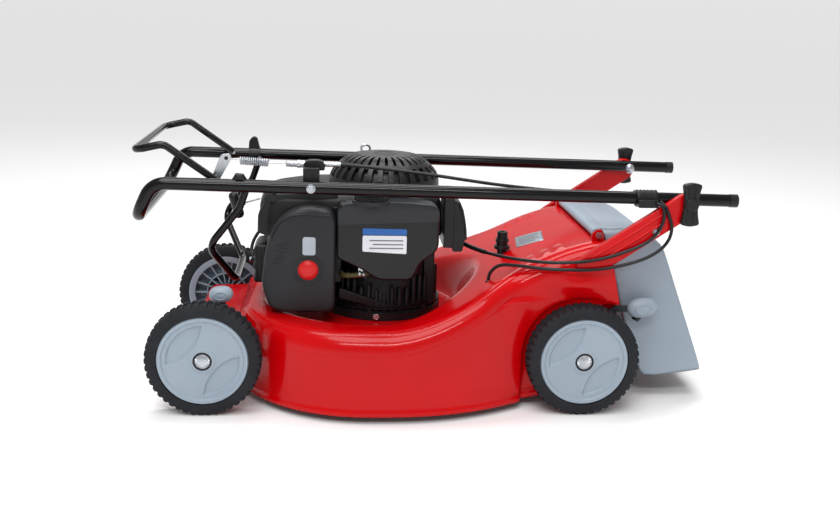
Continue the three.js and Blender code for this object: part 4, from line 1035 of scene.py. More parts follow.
RAIL_ROUTE = [(-232.3, 145, 429), (-300, 147, 424), (-400, 155, 414), (-500, 163, 402),
              (-620, 168, 392), (-700, 168.2, 388), (-745.7, 168, 386)]
BRAKE_ROUTE = [(-455.5, 49, 273), (-474, 78, 269.4), (-494.8, 120, 270), (-533.3, 165, 270.4),
               (-581.5, 198, 272), (-630.8, 212, 275), (-682.9, 214, 282),
               (-734.7, 214.5, 299), (-766, 215, 315), (-782, 215, 333), (-788.5, 216, 350),
               (-789, 217.5, 364), (-785, 218, 377), (-777, 211.5, 380.5)]
DRIVE_ROUTE = [(-498.4, 150, 226), (-500.9, 152, 239.1), (-513.4, 160, 254.2),
               (-535.5, 175, 260), (-581.5, 202, 261.1), (-631.4, 213, 261.9), (-684.2, 214, 264),
               (-736.7, 214, 275), (-770, 214.5, 288), (-792, 215, 304), (-803, 215, 322),
               (-805, 215, 341), (-800, 214.5, 357), (-792, 213.8, 375), (-785, 203, 382.5)]


def make_cables():
    """The cable held along the rail, and the two loops from the chassis up to the handle's clip."""
    rail_cable = tube("drive_cable_on_rail", smooth_path(RAIL_ROUTE, 60), 3, CABLE_BLACK, 16)
    ferrule = tube("drive_cable_ferrule", [spot(-230, 145, 429), spot(-246, 145.4, 428)],
                   4.2, BLACK_PLASTIC, 20)
    place(merge("drive_cable_rail_run", rail_cable, ferrule), "handle", "drive_cable_rail")
    loops = (("brake_cable_run", BRAKE_ROUTE, "brake_cable_loop"),
             ("drive_cable_run", DRIVE_ROUTE, "drive_cable_loop"))
    for name, route, node in loops:
        path = smooth_path(route, 110)
        run = tube(name, path, 3, CABLE_BLACK, 16)
        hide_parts(node)
        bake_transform(run)
    sleeve = tube("brake_cable_sleeve", smooth_path(BRAKE_ROUTE[:3], 14), 4.2, BLACK_PLASTIC, 18)
    place(sleeve, "chassis", slot="cable_jacket")
    boot = lathe("cable_grommet", [(3, -2), (9, -2), (9.5, 1), (6.5, 3), (5.5, 14), (4.5, 20), (3, 20)],
                 BLACK_PLASTIC, (-498, 150, 204), (0, 0, 1), 32)
    place(boot, "chassis", slot="black_plastic")


def make_rope():
    """The taut stretch of rope between the housing and the grip."""
    low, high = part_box("starter_rope")
    start = Vector((low.x, 0, high.z - 0.0018))
    end = Vector((high.x, 0, low.z + 0.0018))
    steps = 60
    taut = [start.lerp(end, step / steps) for step in range(steps + 1)]
    rope = tube("starter_rope_run", taut, 1.8, ROPE_GREY, 16)
    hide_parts("starter_rope")
    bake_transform(rope)
    return start, end


def make_grip(rope_start, rope_end):
    """A waisted T-grip with a stem for the rope."""
    along = (rope_end - rope_start).normalized()
    middle = rope_end + along * 0.0173
    outward = Vector((0, 1, 0))
    up = outward.cross(along).normalized()
    if up.z < 0:
        up = -up
    rings = []
    for step in range(41):
        share = -1 + 2 * step / 40
        width = 12.4 * math.sqrt(max(0.0, 1 - abs(share) ** 5)) * (0.86 + 0.14 * abs(share))
        depth = 11.5 * math.sqrt(max(0.0, 1 - abs(share) ** 5)) * (0.8 + 0.2 * share * share)
        width, depth = max(width, 0.4), max(depth, 0.4)
        centre = middle + up * share * 26 * MM
        ring = []
        for k in range(36):
            angle = 2 * math.pi * k / 36
            ring.append(centre + (along * math.cos(angle) * depth + outward * math.sin(angle) * width) * MM)
        rings.append(ring)
    points, faces = skin(rings)
    bar = make_object("grip_bar", points, faces, BLACK_PLASTIC, 45)
    stem = tube("grip_stem", [middle - along * 0.017, middle - along * 0.011, middle - along * 0.005],
                6, BLACK_PLASTIC, 24, radii=[4, 5, 8])
    place(merge("starter_t_grip", bar, stem), "starter_grip", "starter_grip")


# Engine

def tiers(name, outline, levels, material, centre, smooth=40):
    """A plan outline stacked at several (height, scale) levels and closed at both ends."""
    rings = []
    for z, scale in levels:
        rings.append([spot(centre[0] + (a - centre[0]) * scale, centre[1] + (b - centre[1]) * scale, z)
                      for a, b in outline])
    points, faces = skin(rings)
    return make_object(name, points, faces, material, smooth)


SHROUD_PLAN = [(-421, -110), (-421, 100), (-84, 100), (-84, -60), (-160, -130), (-330, -150)]
SHROUD_MIDDLE = (ENGINE_X + 30, -20)


def make_blower_housing():
    """The shroud over the engine, with its ridges, vents and screws."""
    plan = round_corners(SHROUD_PLAN, 44, 8)
    levels = [(290, 0.985), (290.5, 1.0), (298, 1.0), (299.5, 0.99), (338, 0.985),
              (352, 0.972), (361, 0.945), (366, 0.905), (367.7, 0.86), (367.7, 0.5)]
    shell = tiers("housing_shell", plan, levels, BLACK_PLASTIC, SHROUD_MIDDLE, 50)
    front_cap = slab("housing_front", round_corners([(-92, 291), (-84.5, 296), (-85.5, 330),
                                                     (-100, 352), (-118, 362), (-126, 291)], 8),
                     -50, 92, BLACK_PLASTIC, bevel_mm=5, segments=4)
    ridges = []
    for k in range(9):
        x = -218 + 13 * k
        outline = round_corners([(x - 3.4, 360), (x - 2.6, 372), (x + 2.6, 372), (x + 3.4, 360)], 2)
        ridges.append(slab(f"housing_ridge_{k}", outline, 22, 88, BLACK_PLASTIC, bevel_mm=1.2))
    band = slab("housing_band", round_corners([(-228, 358), (-104, 350), (-104, 356), (-120, 366),
                                               (-228, 371)], 3), 14, 95, BLACK_PLASTIC, bevel_mm=2)
    vents = []
    for k in range(7):
        x = -404 + 10 * k
        vents.append(slab(f"housing_vent_{k}", rectangle(x, 304, x + 4, 344, 1.8),
                          96, 101.5, BLACK_PLASTIC, bevel_mm=0.8))
    exhaust_ribs = [slab(f"housing_side_rib_{k}", rectangle(-340 + 22 * k, 300, -334 + 22 * k, 340, 2.5),
                         -151, -128 + 3 * k, BLACK_PLASTIC, bevel_mm=1) for k in range(6)]
    place(merge("engine_blower_housing", shell, front_cap, band, *ridges, *vents, *exhaust_ribs),
          "chassis", "blower_housing")
    for k, (x, y) in enumerate(((-408, 86), (-110, 86), (-404, -96))):
        screw = lathe(f"housing_screw_{k}", [(0, 0), (7, 0), (7, 2.6), (5.6, 3.6), (3, 3.8),
                                             (2.4, 2.2), (0, 2.2)], ZINC, (x, y, 297), (0, 0, 1), 28)
        place(screw, "chassis", slot="zinc")


DOME_PROFILE = [(103, 368), (103, 380), (101.5, 389), (98, 397), (93, 404),
                (86, 411), (78, 417.5), (71, 422.5), (62, 426.5), (50, 428.6),
                (34, 429), (24, 429), (22, 427.4), (20, 427), (0.5, 427)]


def make_dome():
    """A starter cover with two rows of radial slots cut clean through a thin shell."""
    segments = 180
    cover = []
    for radius, z in DOME_PROFILE:
        ring = [around(radius, k, segments) for k in range(segments)]
        cover.append([spot(ENGINE_X + x, y, z) for x, y in ring])
    points, faces = skin(cover, caps=False)
    kept = []
    for index, face in enumerate(faces):
        row, k = divmod(index, segments)
        slot_low = row in (2, 3, 4) and k % 6 in (1, 2, 3)
        slot_high = row in (6, 7, 8) and k % 6 in (2, 3)
        if not (slot_low or slot_high):
            kept.append(face)
    dome = make_object("starter_dome", points, kept, BLACK_PLASTIC, 40)
    add_modifier(dome, "SOLIDIFY", thickness=2.6 * MM, offset=-1)
    bevel(dome, 0.6, 2, 50)
    place(dome, "chassis", "recoil_cover")
    hub = lathe("dome_badge_boss", [(0, 427.4), (19, 427.4), (19, 428.4), (17.5, 429), (0, 429)],
                COVER_PLASTIC, (ENGINE_X, 0, 0), (0, 0, 1), 64)
    place(hub, "chassis", slot="dark_plastic")
    screen_profile = [(97, 372), (97, 380), (94, 390), (86, 401), (74, 410),
                      (58, 417), (30, 420), (10, 420), (10, 418), (30, 418),
                      (57, 415), (72, 408), (84, 399), (92, 389), (95, 380), (95, 372)]
    screen = lathe("dome_screen", screen_profile, ENGINE_BLACK, (ENGINE_X, 0, 0), (0, 0, 1), 96)
    place(screen, "chassis", slot="black_plastic")
    for k in range(3):
        angle = math.radians(30 + 120 * k)
        bolt = lathe(f"dome_bolt_{k}",
                     [(0, 0), (6.5, 0), (6.5, 3), (5.6, 4), (2.6, 4), (2.2, 2.6), (0, 2.6)], ZINC,
                     (ENGINE_X + 98 * math.cos(angle), 98 * math.sin(angle), 366.5), (0, 0, 1), 24)
        place(bolt, "chassis", slot="zinc")


COVER_OUTLINE = [(-94, 212), (-108, 170), (-128, 161), (-215, 161), (-225, 172),
                 (-225, 332), (-214, 346), (-168, 352), (-125, 332), (-103, 285)]
PRIMER = (-177, 241)


def domed_plate(name, outline, low, high, crown, material, rows=7, edge=6, middle=None):
    """A side-facing cover whose face rises to a soft crown from a rounded edge."""
    middle = middle or (sum(a for a, b in outline) / len(outline),
                        sum(b for a, b in outline) / len(outline))
    rings = [[spot(a, low, b) for a, b in outline]]
    size = max(math.hypot(a - middle[0], b - middle[1]) for a, b in outline)
    for row in range(rows + 1):
        turn = math.pi / 2 * row / rows
        scale = 1 - edge / size * (1 - math.cos(turn))
        rings.append([spot(middle[0] + (a - middle[0]) * scale, high - edge + edge * math.sin(turn),
                           middle[1] + (b - middle[1]) * scale) for a, b in outline])
    base = 1 - edge / size
    for row in range(1, 6):
        share = row / 6
        scale = base * (1 - share)
        rings.append([spot(middle[0] + (a - middle[0]) * scale, high + crown * (1 - (1 - share) ** 2),
                           middle[1] + (b - middle[1]) * scale) for a, b in outline])
    points, faces = skin(rings)
    return make_object(name, points, faces, material, 50)


def ring_plate(name, x, z, inner, outer, low, high, material, bevel_mm=0.8):
    """A flat ring that faces the machine's side."""
    ring = lathe(name, [(inner, low), (outer, low), (outer, high), (inner, high)],
                 material, (x, 0, z), (0, 1, 0), 64)
    bevel(ring, bevel_mm, 3)
    return ring


def make_air_filter():
    """The side cover with its slats, blank badge and primer bulb, and the foam inside."""
    outline = round_corners(COVER_OUTLINE, [16, 14, 14, 12, 10, 10, 14, 26, 26, 26], 8)
    cover = domed_plate("filter_cover_shell", outline, 104, 149.5, 2.5, COVER_PLASTIC, edge=9)
    lip = slab("filter_cover_lip", outline, 110, 113.5, COVER_PLASTIC, bevel_mm=1)
    well = ring_plate("primer_well", *PRIMER, 23.5, 27, 146, 153, COVER_PLASTIC)
    # A near-black disc at the bottom of the primer's well, showing round the bulb: painted shade that
    # darkens the recess.
    floor = lathe("primer_well_painted_shade", [(0, 150.6), (24.5, 150.6), (24.5, 151.9), (0, 151.9)],
                  CABLE_BLACK, (PRIMER[0], 0, PRIMER[1]), (0, 1, 0), 48)
    slats = []
    for k in range(5):
        front, back, z = -120 + 1.5 * k, -152 + 3 * k, 283 - 8 * k
        slats.append(tube(f"cover_slat_{k}",
                          [spot(front, 150.8, z), spot(mix(front, back, 0.5), 151.2, z + 5.5),
                           spot(back, 150.6, z + 10)], 1.8, COVER_PLASTIC, 14, radii=[0.6, 1.9, 0.6]))
    arch = tube("cover_arch", smooth_path([(-112, 151, 300), (-122, 151.4, 322), (-142, 151.6, 336),
                                           (-172, 151.4, 341), (-216, 151, 338)], 30),
                1.6, COVER_PLASTIC, 12)
    place(merge("filter_cover", cover, lip, well, floor, arch, *slats), "chassis", "air_filter_cover")
    badge = slab("filter_cover_badge", rectangle(-190, 268, -167, 301, 5),
                 150, 152.6, LABEL_SILVER, bevel_mm=0.6)
    place(badge, "chassis", slot="dark_plastic")
    profile = [(0, 118), (19, 118), (19, 149.5), (18.3, 151.5), (16.4, 153.8),
               (13.4, 155.9), (9.4, 157.3), (4.8, 157.9), (0, 158)]
    bulb = lathe("primer_dome", profile, PRIMER_RED, (PRIMER[0], 0, PRIMER[1]), (0, 1, 0), 64)
    place(bulb, "primer", "primer_bulb")
    element = refined("air_filter_element", 2.5)
    add_modifier(element, "SUBSURF", levels=1, render_levels=1, subdivision_type="SIMPLE")


def make_plug_guard():
    """The spark plug's boot and lead behind a slotted heat guard at the front of the engine."""
    outline = round_corners([(-104, 204), (-78, 204), (-76, 262), (-84, 274), (-104, 274)], 6)
    guard = slab("plug_guard_box", outline, 20, 102, BLACK_PLASTIC, bevel_mm=4, segments=4)
    for low, high in ((212, 230), (238, 256)):
        cut_box(guard, (-82, 40, low), (-60, 110, high))
    guard.data.materials[0] = BLACK_PLASTIC
    ribs = [slab(f"guard_rib_{k}", rectangle(-98 + 7 * k, 212, -95 + 7 * k, 264, 1.2),
                 100, 104, BLACK_PLASTIC, bevel_mm=0.5) for k in range(3)]
    place(merge("plug_guard", guard, *ribs), "chassis", slot="black_plastic")
    boot = tube("plug_boot", [spot(-97, 0, 222), spot(-84, 0, 222), spot(-74, 0, 222), spot(-66, 0, 224)],
                9, BLACK_PLASTIC, 28, radii=[7, 8.5, 9.5, 6])
    lead_route = [(-72, 0, 226), (-66, -14, 240), (-74, -30, 262), (-96, -40, 286), (-112, -42, 296)]
    lead = tube("plug_lead", smooth_path(lead_route, 40), 3.2, CABLE_BLACK, 14)
    place(merge("plug_boot_and_lead", boot, lead), "chassis", slot="black_plastic")


TANK_OUTLINE = [(-227, 262), (-275, 240), (-300, 222), (-362, 222), (-376, 255),
                (-408, 278), (-408, 350), (-396, 360), (-232, 360), (-227, 350)]
CAP_SPOT = (-287, 138)


def make_tank():
    """The blow-moulded tank, its lighter upper moulding, a blank label and a finned cap."""
    outline = round_corners(TANK_OUTLINE, [6, 10, 14, 12, 10, 14, 10, 8, 6, 6], 6)
    body = domed_plate("tank_body", outline, 104, 151, 0.8, TANK_BLACK, edge=8, middle=(-318, 292))
    spout = lathe("tank_spout", [(12, 352), (17, 352), (17, 360), (13, 362), (13, 367), (12, 367)],
                  TANK_BLACK, (*CAP_SPOT, 0), (0, 0, 1), 40)
    outlet = lathe("tank_outlet", [(2.4, 222), (4, 222), (4, 250), (2.4, 250)],
                   TANK_BLACK, (-279, 128, 0), (0, 0, 1), 24)
    seam = slab("tank_seam", outline, 124, 126.5, TANK_BLACK, bevel_mm=0.8)
    place(merge("fuel_tank_shape", body, spout, outlet, seam), "chassis", "fuel_tank")
    band_outline = round_corners([(-227.5, 322), (-300, 326), (-407, 330), (-408, 350), (-396, 360.6),
                                  (-340, 365), (-262, 365), (-240, 360.6), (-227.5, 350)],
                                 [3, 4, 3, 8, 8, 10, 10, 6, 5])
    band = domed_plate("tank_upper_cover", band_outline, 108, 152,
                       0.3, TANK_GREY, edge=5, middle=(-318, 344))
    recess = lathe("cap_surround", [(30.5, 361), (35, 361), (34, 367), (31, 367.5)],
                   TANK_GREY, (*CAP_SPOT, 0), (0, 0, 1), 64)
    bevel(recess, 0.6)
    place(merge("tank_top_cover", band, recess), "chassis", slot="tank_plastic")
    label = slab("tank_label_field", round_corners([(-350, 272), (-272, 276), (-272, 305), (-350, 305)], 3),
                 150, 152.3, LABEL_WHITE, bevel_mm=0.4)
    header = slab("tank_label_header",
                  round_corners([(-350, 306), (-272, 306), (-272, 318), (-350, 317)], 3),
                  150, 152.3, LABEL_BLUE, bevel_mm=0.4)
    rows = [slab(f"tank_label_row_{k}",
                 rectangle(-344, 281 + 7 * k, -284 - 6 * (k % 2), 283.4 + 7 * k, 0.8),
                 151, 152.5, LABEL_GREY, bevel_mm=0.2) for k in range(3)]
    place(merge("tank_label", label, header, *rows), "chassis", slot="tank_plastic")
    make_fuel_cap()
    route = [(-211, 80, 222), (-226, 84, 223), (-236, 104, 224), (-240, 122, 225),
             (-254, 128, 226), (-272, 128, 228), (-290, 128, 232)]
    place(tube("fuel_hose_run", smooth_path(route, 50), 4.8, HOSE_BROWN, 24), "chassis", "fuel_hose")
    clamp_rings = [lathe(f"hose_clamp_{k}", [(4.7, 0), (6.6, 0), (6.6, 3.4), (4.7, 3.4)],
                         ZINC, (-277 + 7 * k, 128, 229), (1, 0, 0.12), 36) for k in range(2)]
    ears = slab("hose_clamp_ears", round_corners([(-278, 234), (-266, 233), (-266, 242), (-278, 243)], 2),
                127, 129.4, ZINC, bevel_mm=0.4)
    place(merge("hose_clamp", *clamp_rings, ears), "chassis", slot="zinc")


def make_fuel_cap():
    """A cap with gripping flutes round it and a bar across its top."""
    steps = 120
    rings = []
    profile = [(13, 361), (28.5, 361), (30, 362.5), (30, 377), (28.6, 379.6),
               (25, 381.4), (20, 382.4), (10, 382.9), (0.4, 383)]
    for k in range(steps):
        angle = 2 * math.pi * k / steps
        ring = []
        for i, (radius, z) in enumerate(profile):
            dip = 1.6 if k % 6 < 3 and i in (2, 3, 4) else 0
            rib = 1.4 if abs(math.sin(angle)) * radius < 3.2 and i in (6, 7) else 0
            ring.append(spot(CAP_SPOT[0] + (radius - dip) * math.cos(angle),
                             CAP_SPOT[1] + (radius - dip) * math.sin(angle), z - 1.5 + rib if i > 4 else z))
        rings.append(ring)
    points, faces = skin(rings, closed_path=True)
    place(make_object("finned_fuel_cap", points, faces, BLACK_PLASTIC, 32), "fuel_cap", "fuel_cap")


def make_cylinder():
    """A stack of thin cooling fins round a cylinder that points forward, with its bolted head."""
    fins = []
    for k in range(12):
        x = -216 + 9.2 * k
        outline = rectangle(-60, 162, 58, 276, 10)
        fins.append(slab(f"cylinder_fin_{k}", outline, x - 1.1, x + 1.1,
                         CAST_ALLOY, axis="x", bevel_mm=0.5, segments=1))
    barrel = slab("cylinder_barrel", rectangle(-46, 174, 46, 264, 18),
                  -216, -108, CAST_ALLOY, axis="x", bevel_mm=1)
    head = slab("cylinder_head", rectangle(-56, 166, 56, 272, 12),
                -110, -96.5, CAST_ALLOY, axis="x", bevel_mm=2)
    bolts = []
    for k, (y, z) in enumerate(((-46, 178), (46, 178), (-46, 260), (46, 260), (0, 264), (0, 175))):
        bolts.append(tube(f"head_bolt_{k}", [spot(-98, y, z), spot(-90.5, y, z)], 6.4, ZINC, 6))
        bevel(bolts[-1], 0.6)
    place(merge("finned_cylinder", barrel, head, *fins, *bolts), "chassis", "cylinder_block")


def make_crankcase():
    """A black-painted case with a bolted base flange and fingers of uneven height round it."""
    refined("crankcase", 1.4, 30, material=ENGINE_BLACK)
    webs = []
    for k in range(44):
        angle = 2 * math.pi * k / 44
        x, y = ENGINE_X + 101 * math.cos(angle), 101 * math.sin(angle)
        if x > -232:
            continue
        top = 214 + 16 * math.sin(3 * angle) - 7 * (k % 3)
        webs.append(tube(f"case_finger_{k}", [spot(x, y, 149), spot(x, y, top - 4), spot(x, y, top)],
                         4.2, ENGINE_BLACK, 12, radii=[4.6, 4.2, 2.6]))
    fins = []
    for k in range(3):
        z = 158 + 4 * k
        fins.append(lathe(f"case_step_{k}", [(96, z - 1.6), (110 - 3 * k, z - 1.2), (110 - 3 * k, z + 1.2),
                                             (96, z + 1.6)], ENGINE_BLACK, (ENGINE_X, 0, 0), (0, 0, 1), 96))
    side = round_corners([(-409, 160), (-392, 152), (-388, 262), (-409, 270)], 5)
    fins.append(slab("case_side_panel", side, 42, 66, ENGINE_BLACK, bevel_mm=2))
    strut = round_corners([(-232, 176), (-330, 152), (-336, 160), (-232, 196)], 4)
    fins.append(slab("case_front_strut", strut, 96, 104, ENGINE_BLACK, bevel_mm=2))
    drain = tube("drain_plug", [spot(-300, 106, 146), spot(-300, 116, 144)], 7, ZINC, 6)
    bevel(drain, 0.6)
    fins.append(drain)
    bolts = []
    for k in range(6):
        across_engine, y = around(104, k + 0.25, 6)
        x = ENGINE_X + across_engine
        bolts.append(tube(f"case_bolt_{k}", [spot(x, y, 149), spot(x, y, 156.5)], 6.2, DARK_STEEL, 6))
        bevel(bolts[-1], 0.6)
    filler = rectangle(-236, 205, -218, 345, 4)
    bolts.append(slab("case_filler_panel", filler, 60, 102, ENGINE_BLACK, bevel_mm=2))
    place(merge("crankcase_fins_and_bolts", *webs, *fins, *bolts), "chassis", slot="cast_alloy")


def make_muffler():
    """The silencer's body behind a row of louvres."""
    low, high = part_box("muffler")
    refined("muffler", 4, 30, 4)
    shield = []
    for k in range(7):
        z = low.z / MM + 12 + 12 * k
        x0, x1 = (low.x - AXLE_X) / MM + 8, (high.x - AXLE_X) / MM - 8
        y = low.y / MM
        shield.append(slab(f"muffler_louvre_{k}", rectangle(x0, z, x1, z + 4, 1.8),
                           y - 2.5, y + 2, DARK_STEEL, bevel_mm=0.8))
    place(merge("muffler_louvres", *shield), "chassis", slot="dark_steel")


def make_guard():
    """The rear guard, with a curved back, standing ribs and a screw."""
    refined("rear_guard", 1.2, 30)
    outer_edge = [(-441, 357), (-451, 354), (-457, 340), (-461, 322), (-464, 303), (-465, 285)]
    inner_edge = [(-461, 285), (-460, 303), (-457, 321), (-453, 338), (-448, 350), (-441, 353)]
    place(slab("guard_back", outer_edge + inner_edge, 14, 90, BLACK_PLASTIC, bevel_mm=0.8),
          "chassis", slot="black_plastic")
    rib_outline = round_corners([(-424, 352), (-446, 353), (-457, 326), (-462, 286),
                                 (-457, 262), (-439, 262), (-437, 288), (-424, 306)], 4)
    for k, y in enumerate((16, 32, 62, 86)):
        place(slab(f"guard_rib_{k}", rib_outline, y, y + 2.4, BLACK_PLASTIC, bevel_mm=0.6),
              "chassis", slot="black_plastic")
    screw = lathe("guard_screw", [(0, 0), (5, 0), (5, 2.4), (4, 3.2), (0, 3.2)],
                  ZINC, (-440, 24, 352), (-1, 0, 0), 28)
    place(screw, "chassis", slot="zinc")


def make_engine():
    make_blower_housing()
    make_dome()
    make_air_filter()
    make_plug_guard()
    make_tank()
    make_cylinder()
    make_crankcase()
    make_muffler()
    make_guard()


# Rear flap, its rod and spring

HINGE = (-692, 312)
FLAP_SHEET = 3


def make_flap():
    """A hood with soft shoulders over the tunnel's mouth, its ribs, hinge rod and spring."""
    spine = [(-700, 318), (-735, 318.5), (-766, 318), (-788, 311.5), (-806, 300), (-817, 288),
             (-824, 272), (-841, 228), (-858, 185), (-875, 142), (-892, 99), (-909, 55)]
    front = [(-709, 300), (-712, 290), (-716, 276), (-722, 250), (-729, 222), (-735, 196),
             (-741, 174), (-746, 155), (-757, 126), (-768, 97), (-779, 68), (-789, 39)]
    rings = []
    for (sx, sz), (fx, fz) in zip(spine, front):
        ring = []
        for y_share in (-1, 1):
            edge = [(fx, fz, 151), (mix(fx, sx, 0.5), mix(fz, sz, 0.5), 151)]
            for step in range(7):
                turn = math.pi / 2 * step / 6
                reach = 12
                toward = Vector((sx - fx, sz - fz))
                length = toward.length
                share = (length - reach + reach * math.sin(turn)) / length
                edge.append((mix(fx, sx, share), mix(fz, sz, share), 151 - reach * (1 - math.cos(turn))))
            side = [(x, y_share * y, z) for x, z, y in edge]
            ring.append(side if y_share < 0 else side[::-1])
        middle = [(sx, y, sz) for y in (-120, -100, -80, -60, -40, -20, 0, 20, 40, 60, 80, 100, 120)]
        rings.append([spot(*point) for point in ring[0] + middle + ring[1]])
    points, faces = skin(rings, closed_ring=False, caps=False)
    hood = make_object("flap_hood", points, faces, GREY_PLASTIC, 45)
    add_modifier(hood, "SOLIDIFY", thickness=FLAP_SHEET * MM, offset=-1)
    add_modifier(hood, "SUBSURF", levels=1, render_levels=1)
    barrel = across("flap_barrel", *HINGE, -151, 138, 8, GREY_PLASTIC, 1)
    strap_outline = round_corners([(-692, 316), (-692, 320), (-712, 319), (-712, 313)], 1)
    strap = slab("flap_strap", strap_outline, -150, 130, GREY_PLASTIC, bevel_mm=0.6)
    ribs = []
    for y in (-105, -35, 35, 105):
        ribs.append(slab(f"flap_rib_{y}",
                         round_corners([(-835, 240), (-833, 240), (-902, 66), (-906, 66)], 0.6),
                         y - 2.5, y + 2.5, GREY_PLASTIC, bevel_mm=0.4))
    place(merge("rear_flap_hood", hood, barrel, strap, *ribs), "flap", "discharge_flap")
    rod_shape = across("hinge_rod", *HINGE, -163, 163, 4, ZINC, 0.5)
    nuts = [across(f"hinge_nut_{side}", *HINGE, side * 158, side * 165, 6.5, ZINC, 0.5, 6)
            for side in (-1, 1)]
    place(merge("flap_hinge_rod", rod_shape, *nuts), "chassis", "flap_rod")
    spring = helix((HINGE[0], 139.5, HINGE[1]), (HINGE[0], 149, HINGE[1]), 7, 5, 0.9, "torsion_coil", ZINC)
    leg = tube("torsion_leg",
               [spot(-692, 139.5, 319), spot(-735, 139.5, 320.5), spot(-744, 128, 320.5)], 0.9, ZINC, 10)
    place(merge("flap_spring", spring, leg), "chassis", slot="zinc")


# Handle brackets, levers' knobs, wash port, drive underneath and small plates

BRACKET_FOOT = (-655, 262)
BOLT_SPOT = (-780, 330)
BRACKET_OUTLINE = [(-851, 378), (-843, 395), (-824, 399), (-668, 294),
                   (-640, 272), (-650, 255), (-690, 257), (-770, 310), (-846, 361)]
BRACKET_CORNERS = [10, 12, 14, 20, 12, 14, 26, 30, 12]


def make_brackets():
    """Pressed channels from the fenders up to the handle's pivot, each with two beads and a bolt."""
    for side, sign in (("left", 1), ("right", -1)):
        node = f"handle_bracket_{side}"
        low, high = sorted((sign * (BRACKET_OUT - 13), sign * BRACKET_OUT))
        channel = slab(f"bracket_channel_{side}", round_corners(BRACKET_OUTLINE, BRACKET_CORNERS),
                       low, high, RED_PAINT, bevel_mm=2.4, segments=4)
        place(channel, "chassis", node)
        along = Vector((FOLD[0] - BRACKET_FOOT[0], FOLD[1] - BRACKET_FOOT[1])).normalized()
        across_way = Vector((-along.y, along.x))
        start = Vector(BRACKET_FOOT) + along * 30
        end = Vector(FOLD) - along * 44
        for k, offset in enumerate((-8, 5)):
            first, last = start + across_way * offset, end + across_way * offset
            path = [spot(point.x, sign * (BRACKET_OUT - 1.6), point.y)
                    for point in (first, first.lerp(last, 0.5), last)]
            bead = tube(f"bracket_bead_{side}_{k}", path, 3.2, RED_PAINT, 16, radii=[2.4, 3.2, 2.4])
            place(bead, "chassis", slot="red_steel")
        place(bolt_head(f"bracket_bolt_{side}", *BOLT_SPOT, sign * (BRACKET_OUT - 0.6), sign, 5.2),
              "chassis", slot="zinc")


def make_lever_knob(node, x, z, y, half_long, half_high, lean):
    """A soft oval knob across its lever's end, with a ring-shaped dimple in its outer face."""
    turn = Matrix.Rotation(lean, 3, "Y")
    middle = spot(x, y, z)
    rings = []
    for step in range(33):
        share = math.cos(math.pi * step / 32)
        fullness = max(0.02, (1 - abs(share) ** 2.6) ** 0.5)
        rings.append([middle + turn @ Vector((half_long * share,
                                              14 * fullness * math.sin(2 * math.pi * k / 44),
                                              half_high * fullness * math.cos(2 * math.pi * k / 44))) * MM
                      for k in range(44)])
    points, faces = skin(rings)
    knob = make_object(f"{node}_grip", points, faces, GREY_PLASTIC, 70)
    collar = tube(f"{node}_collar", [middle + turn @ Vector((half_long * 0.2, -3, -half_high * 0.6)) * MM,
                                     middle + turn @ Vector((half_long * 0.5, -3, -half_high * 1.25)) * MM],
                  8, BLACK_PLASTIC, 24, radii=[9, 7])
    rim = [middle + turn @ Vector((half_long * 0.5 * math.cos(2 * math.pi * k / 40), 12.6,
                                   half_high * 0.46 * math.sin(2 * math.pi * k / 40))) * MM
           for k in range(41)]
    dimple = tube(f"{node}_rim", rim, 1.5, GREY_PLASTIC, 12)
    place(merge(f"{node}_oval", knob, collar, dimple), body_of_node(node), node)


def make_running_gear():
    """The two crank axles and the knobs of their levers."""
    for node in ("front_axle", "rear_axle"):
        refined(node, 0.6, 35, material=DARK_STEEL)
    make_lever_knob("front_lever_knob", -26, 199, 163, 21, 15, 0.1)
    make_lever_knob("rear_lever_knob", -776, 184, 177, 28, 18, 0.15)


def make_wash_port():
    """The hose connector on the deck, with its rings."""
    refined("wash_port", 0.8, 35)
    low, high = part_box("wash_port")
    middle = (low + high) / 2
    x, y = (middle.x - AXLE_X) / MM, middle.y / MM
    top = high.z / MM
    ribs = [lathe(f"port_rib_{k}", [(8, top - 20 - 8 * k), (10.6, top - 19 - 8 * k),
                                    (10.6, top - 16 - 8 * k), (8, top - 15 - 8 * k)],
                  BLACK_PLASTIC, (x, y, 0), (0, 0, 1), 36) for k in range(3)]
    place(merge("port_ribs", *ribs), "chassis", slot="black_plastic")


def make_plates():
    """A bright plate with plain bars, laid on the slope of the deck behind the engine."""
    plate = deck_patch("rating_plate", (0, 1), (0, 1), 0.5, LABEL_SILVER)
    lines = [deck_patch(f"rating_line_{k}", (0.12, 0.86 - 0.14 * (k % 2)),
                        (0.16 + 0.19 * k, 0.24 + 0.19 * k), 0.8, LABEL_GREY) for k in range(4)]
    place(merge("rating_plate_blank", plate, *lines), "chassis", slot="zinc")


PLATE_CORNERS = ((-574, -23), (-620, 1), (-612, 67), (-566, 43))


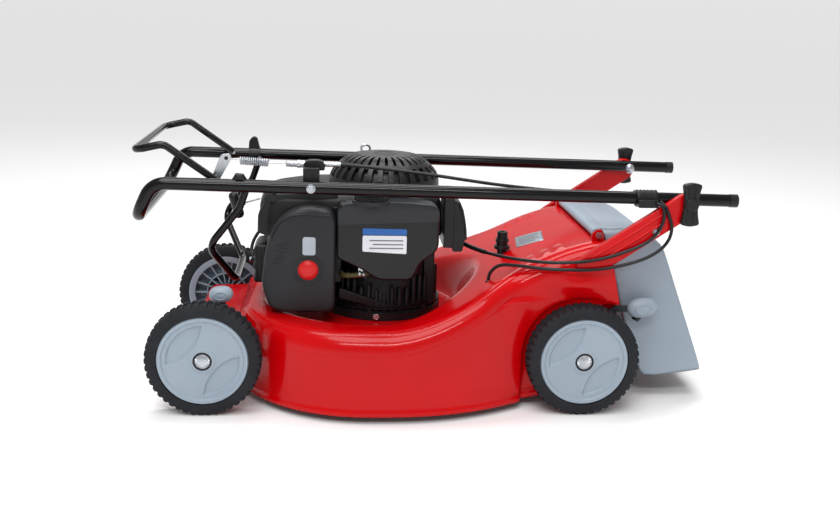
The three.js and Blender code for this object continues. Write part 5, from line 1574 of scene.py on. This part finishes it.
def deck_patch(name, across_range, down_range, lift, material):
    """A thin patch that follows the deck's skin inside the plate's four corners."""
    first, second, third, fourth = (Vector(corner) for corner in PLATE_CORNERS)
    rings = []
    for i in range(9):
        u = mix(*across_range, i / 8)
        ring = []
        for j in range(9):
            v = mix(*down_range, j / 8)
            x, y = first.lerp(second, u).lerp(fourth.lerp(third, u), v)
            height = mix(CREST, REAR_CREST, ramp(-x, 310, 710))
            ring.append(spot(x, y, deck_top(x, y, height) + lift))
        rings.append(ring)
    points, faces = skin(rings, closed_ring=False, caps=False)
    patch = make_object(name, points, faces, material, 60)
    add_modifier(patch, "SOLIDIFY", thickness=0.4 * MM, offset=-1)
    return patch


PLAIN_NODES = {
    "discharge_ramp": 1.0, "spark_plug": 0.4, "starter_pulley": 0.8, "flywheel": 1.0, "crankshaft": 0.5,
    "engine_brake_lever": 0.6, "carburettor": 2.0, "blade_carrier": 0.8, "blade_bolt": 0.6,
    "gearbox_pulley": 0.6, "drive_belt": 0, "gearbox": 3.0, "drive_shaft": 0.4, "dipstick": 1.4,
}


def make_plain_pieces():
    for node, width in PLAIN_NODES.items():
        refined(node, width, 35)


def make_blade():
    """The cutting bar with ground edges along both leading sides."""
    refined("blade", 0.5, 30)
    edges = []
    for sign in (1, -1):
        outline = [(ENGINE_X + sign * 140, -sign * 25.2), (ENGINE_X + sign * 224, -sign * 25.2),
                   (ENGINE_X + sign * 224, -sign * 19), (ENGINE_X + sign * 140, -sign * 19)]
        edges.append(slab(f"ground_edge_{sign}", outline, 41.6, 42.4,
                          ZINC, axis="z", bevel_mm=0.2, segments=1))
    place(merge("blade_ground_edges", *edges), "crankshaft", slot="zinc")


def dress_leftovers():
    """Gives every CAD node its look, for any that still shows."""
    for node, shape in frame["nodes"].items():
        shape.data.materials.clear()
        shape.data.materials.append(look_of(node))


make_camera()
make_cables()
make_grip(*make_rope())
make_floor()
make_lights()
make_deck()
make_wheels()
make_handle()
make_engine()
make_flap()
make_brackets()
make_running_gear()
make_wash_port()
make_plates()
make_plain_pieces()
make_blade()
dress_leftovers()
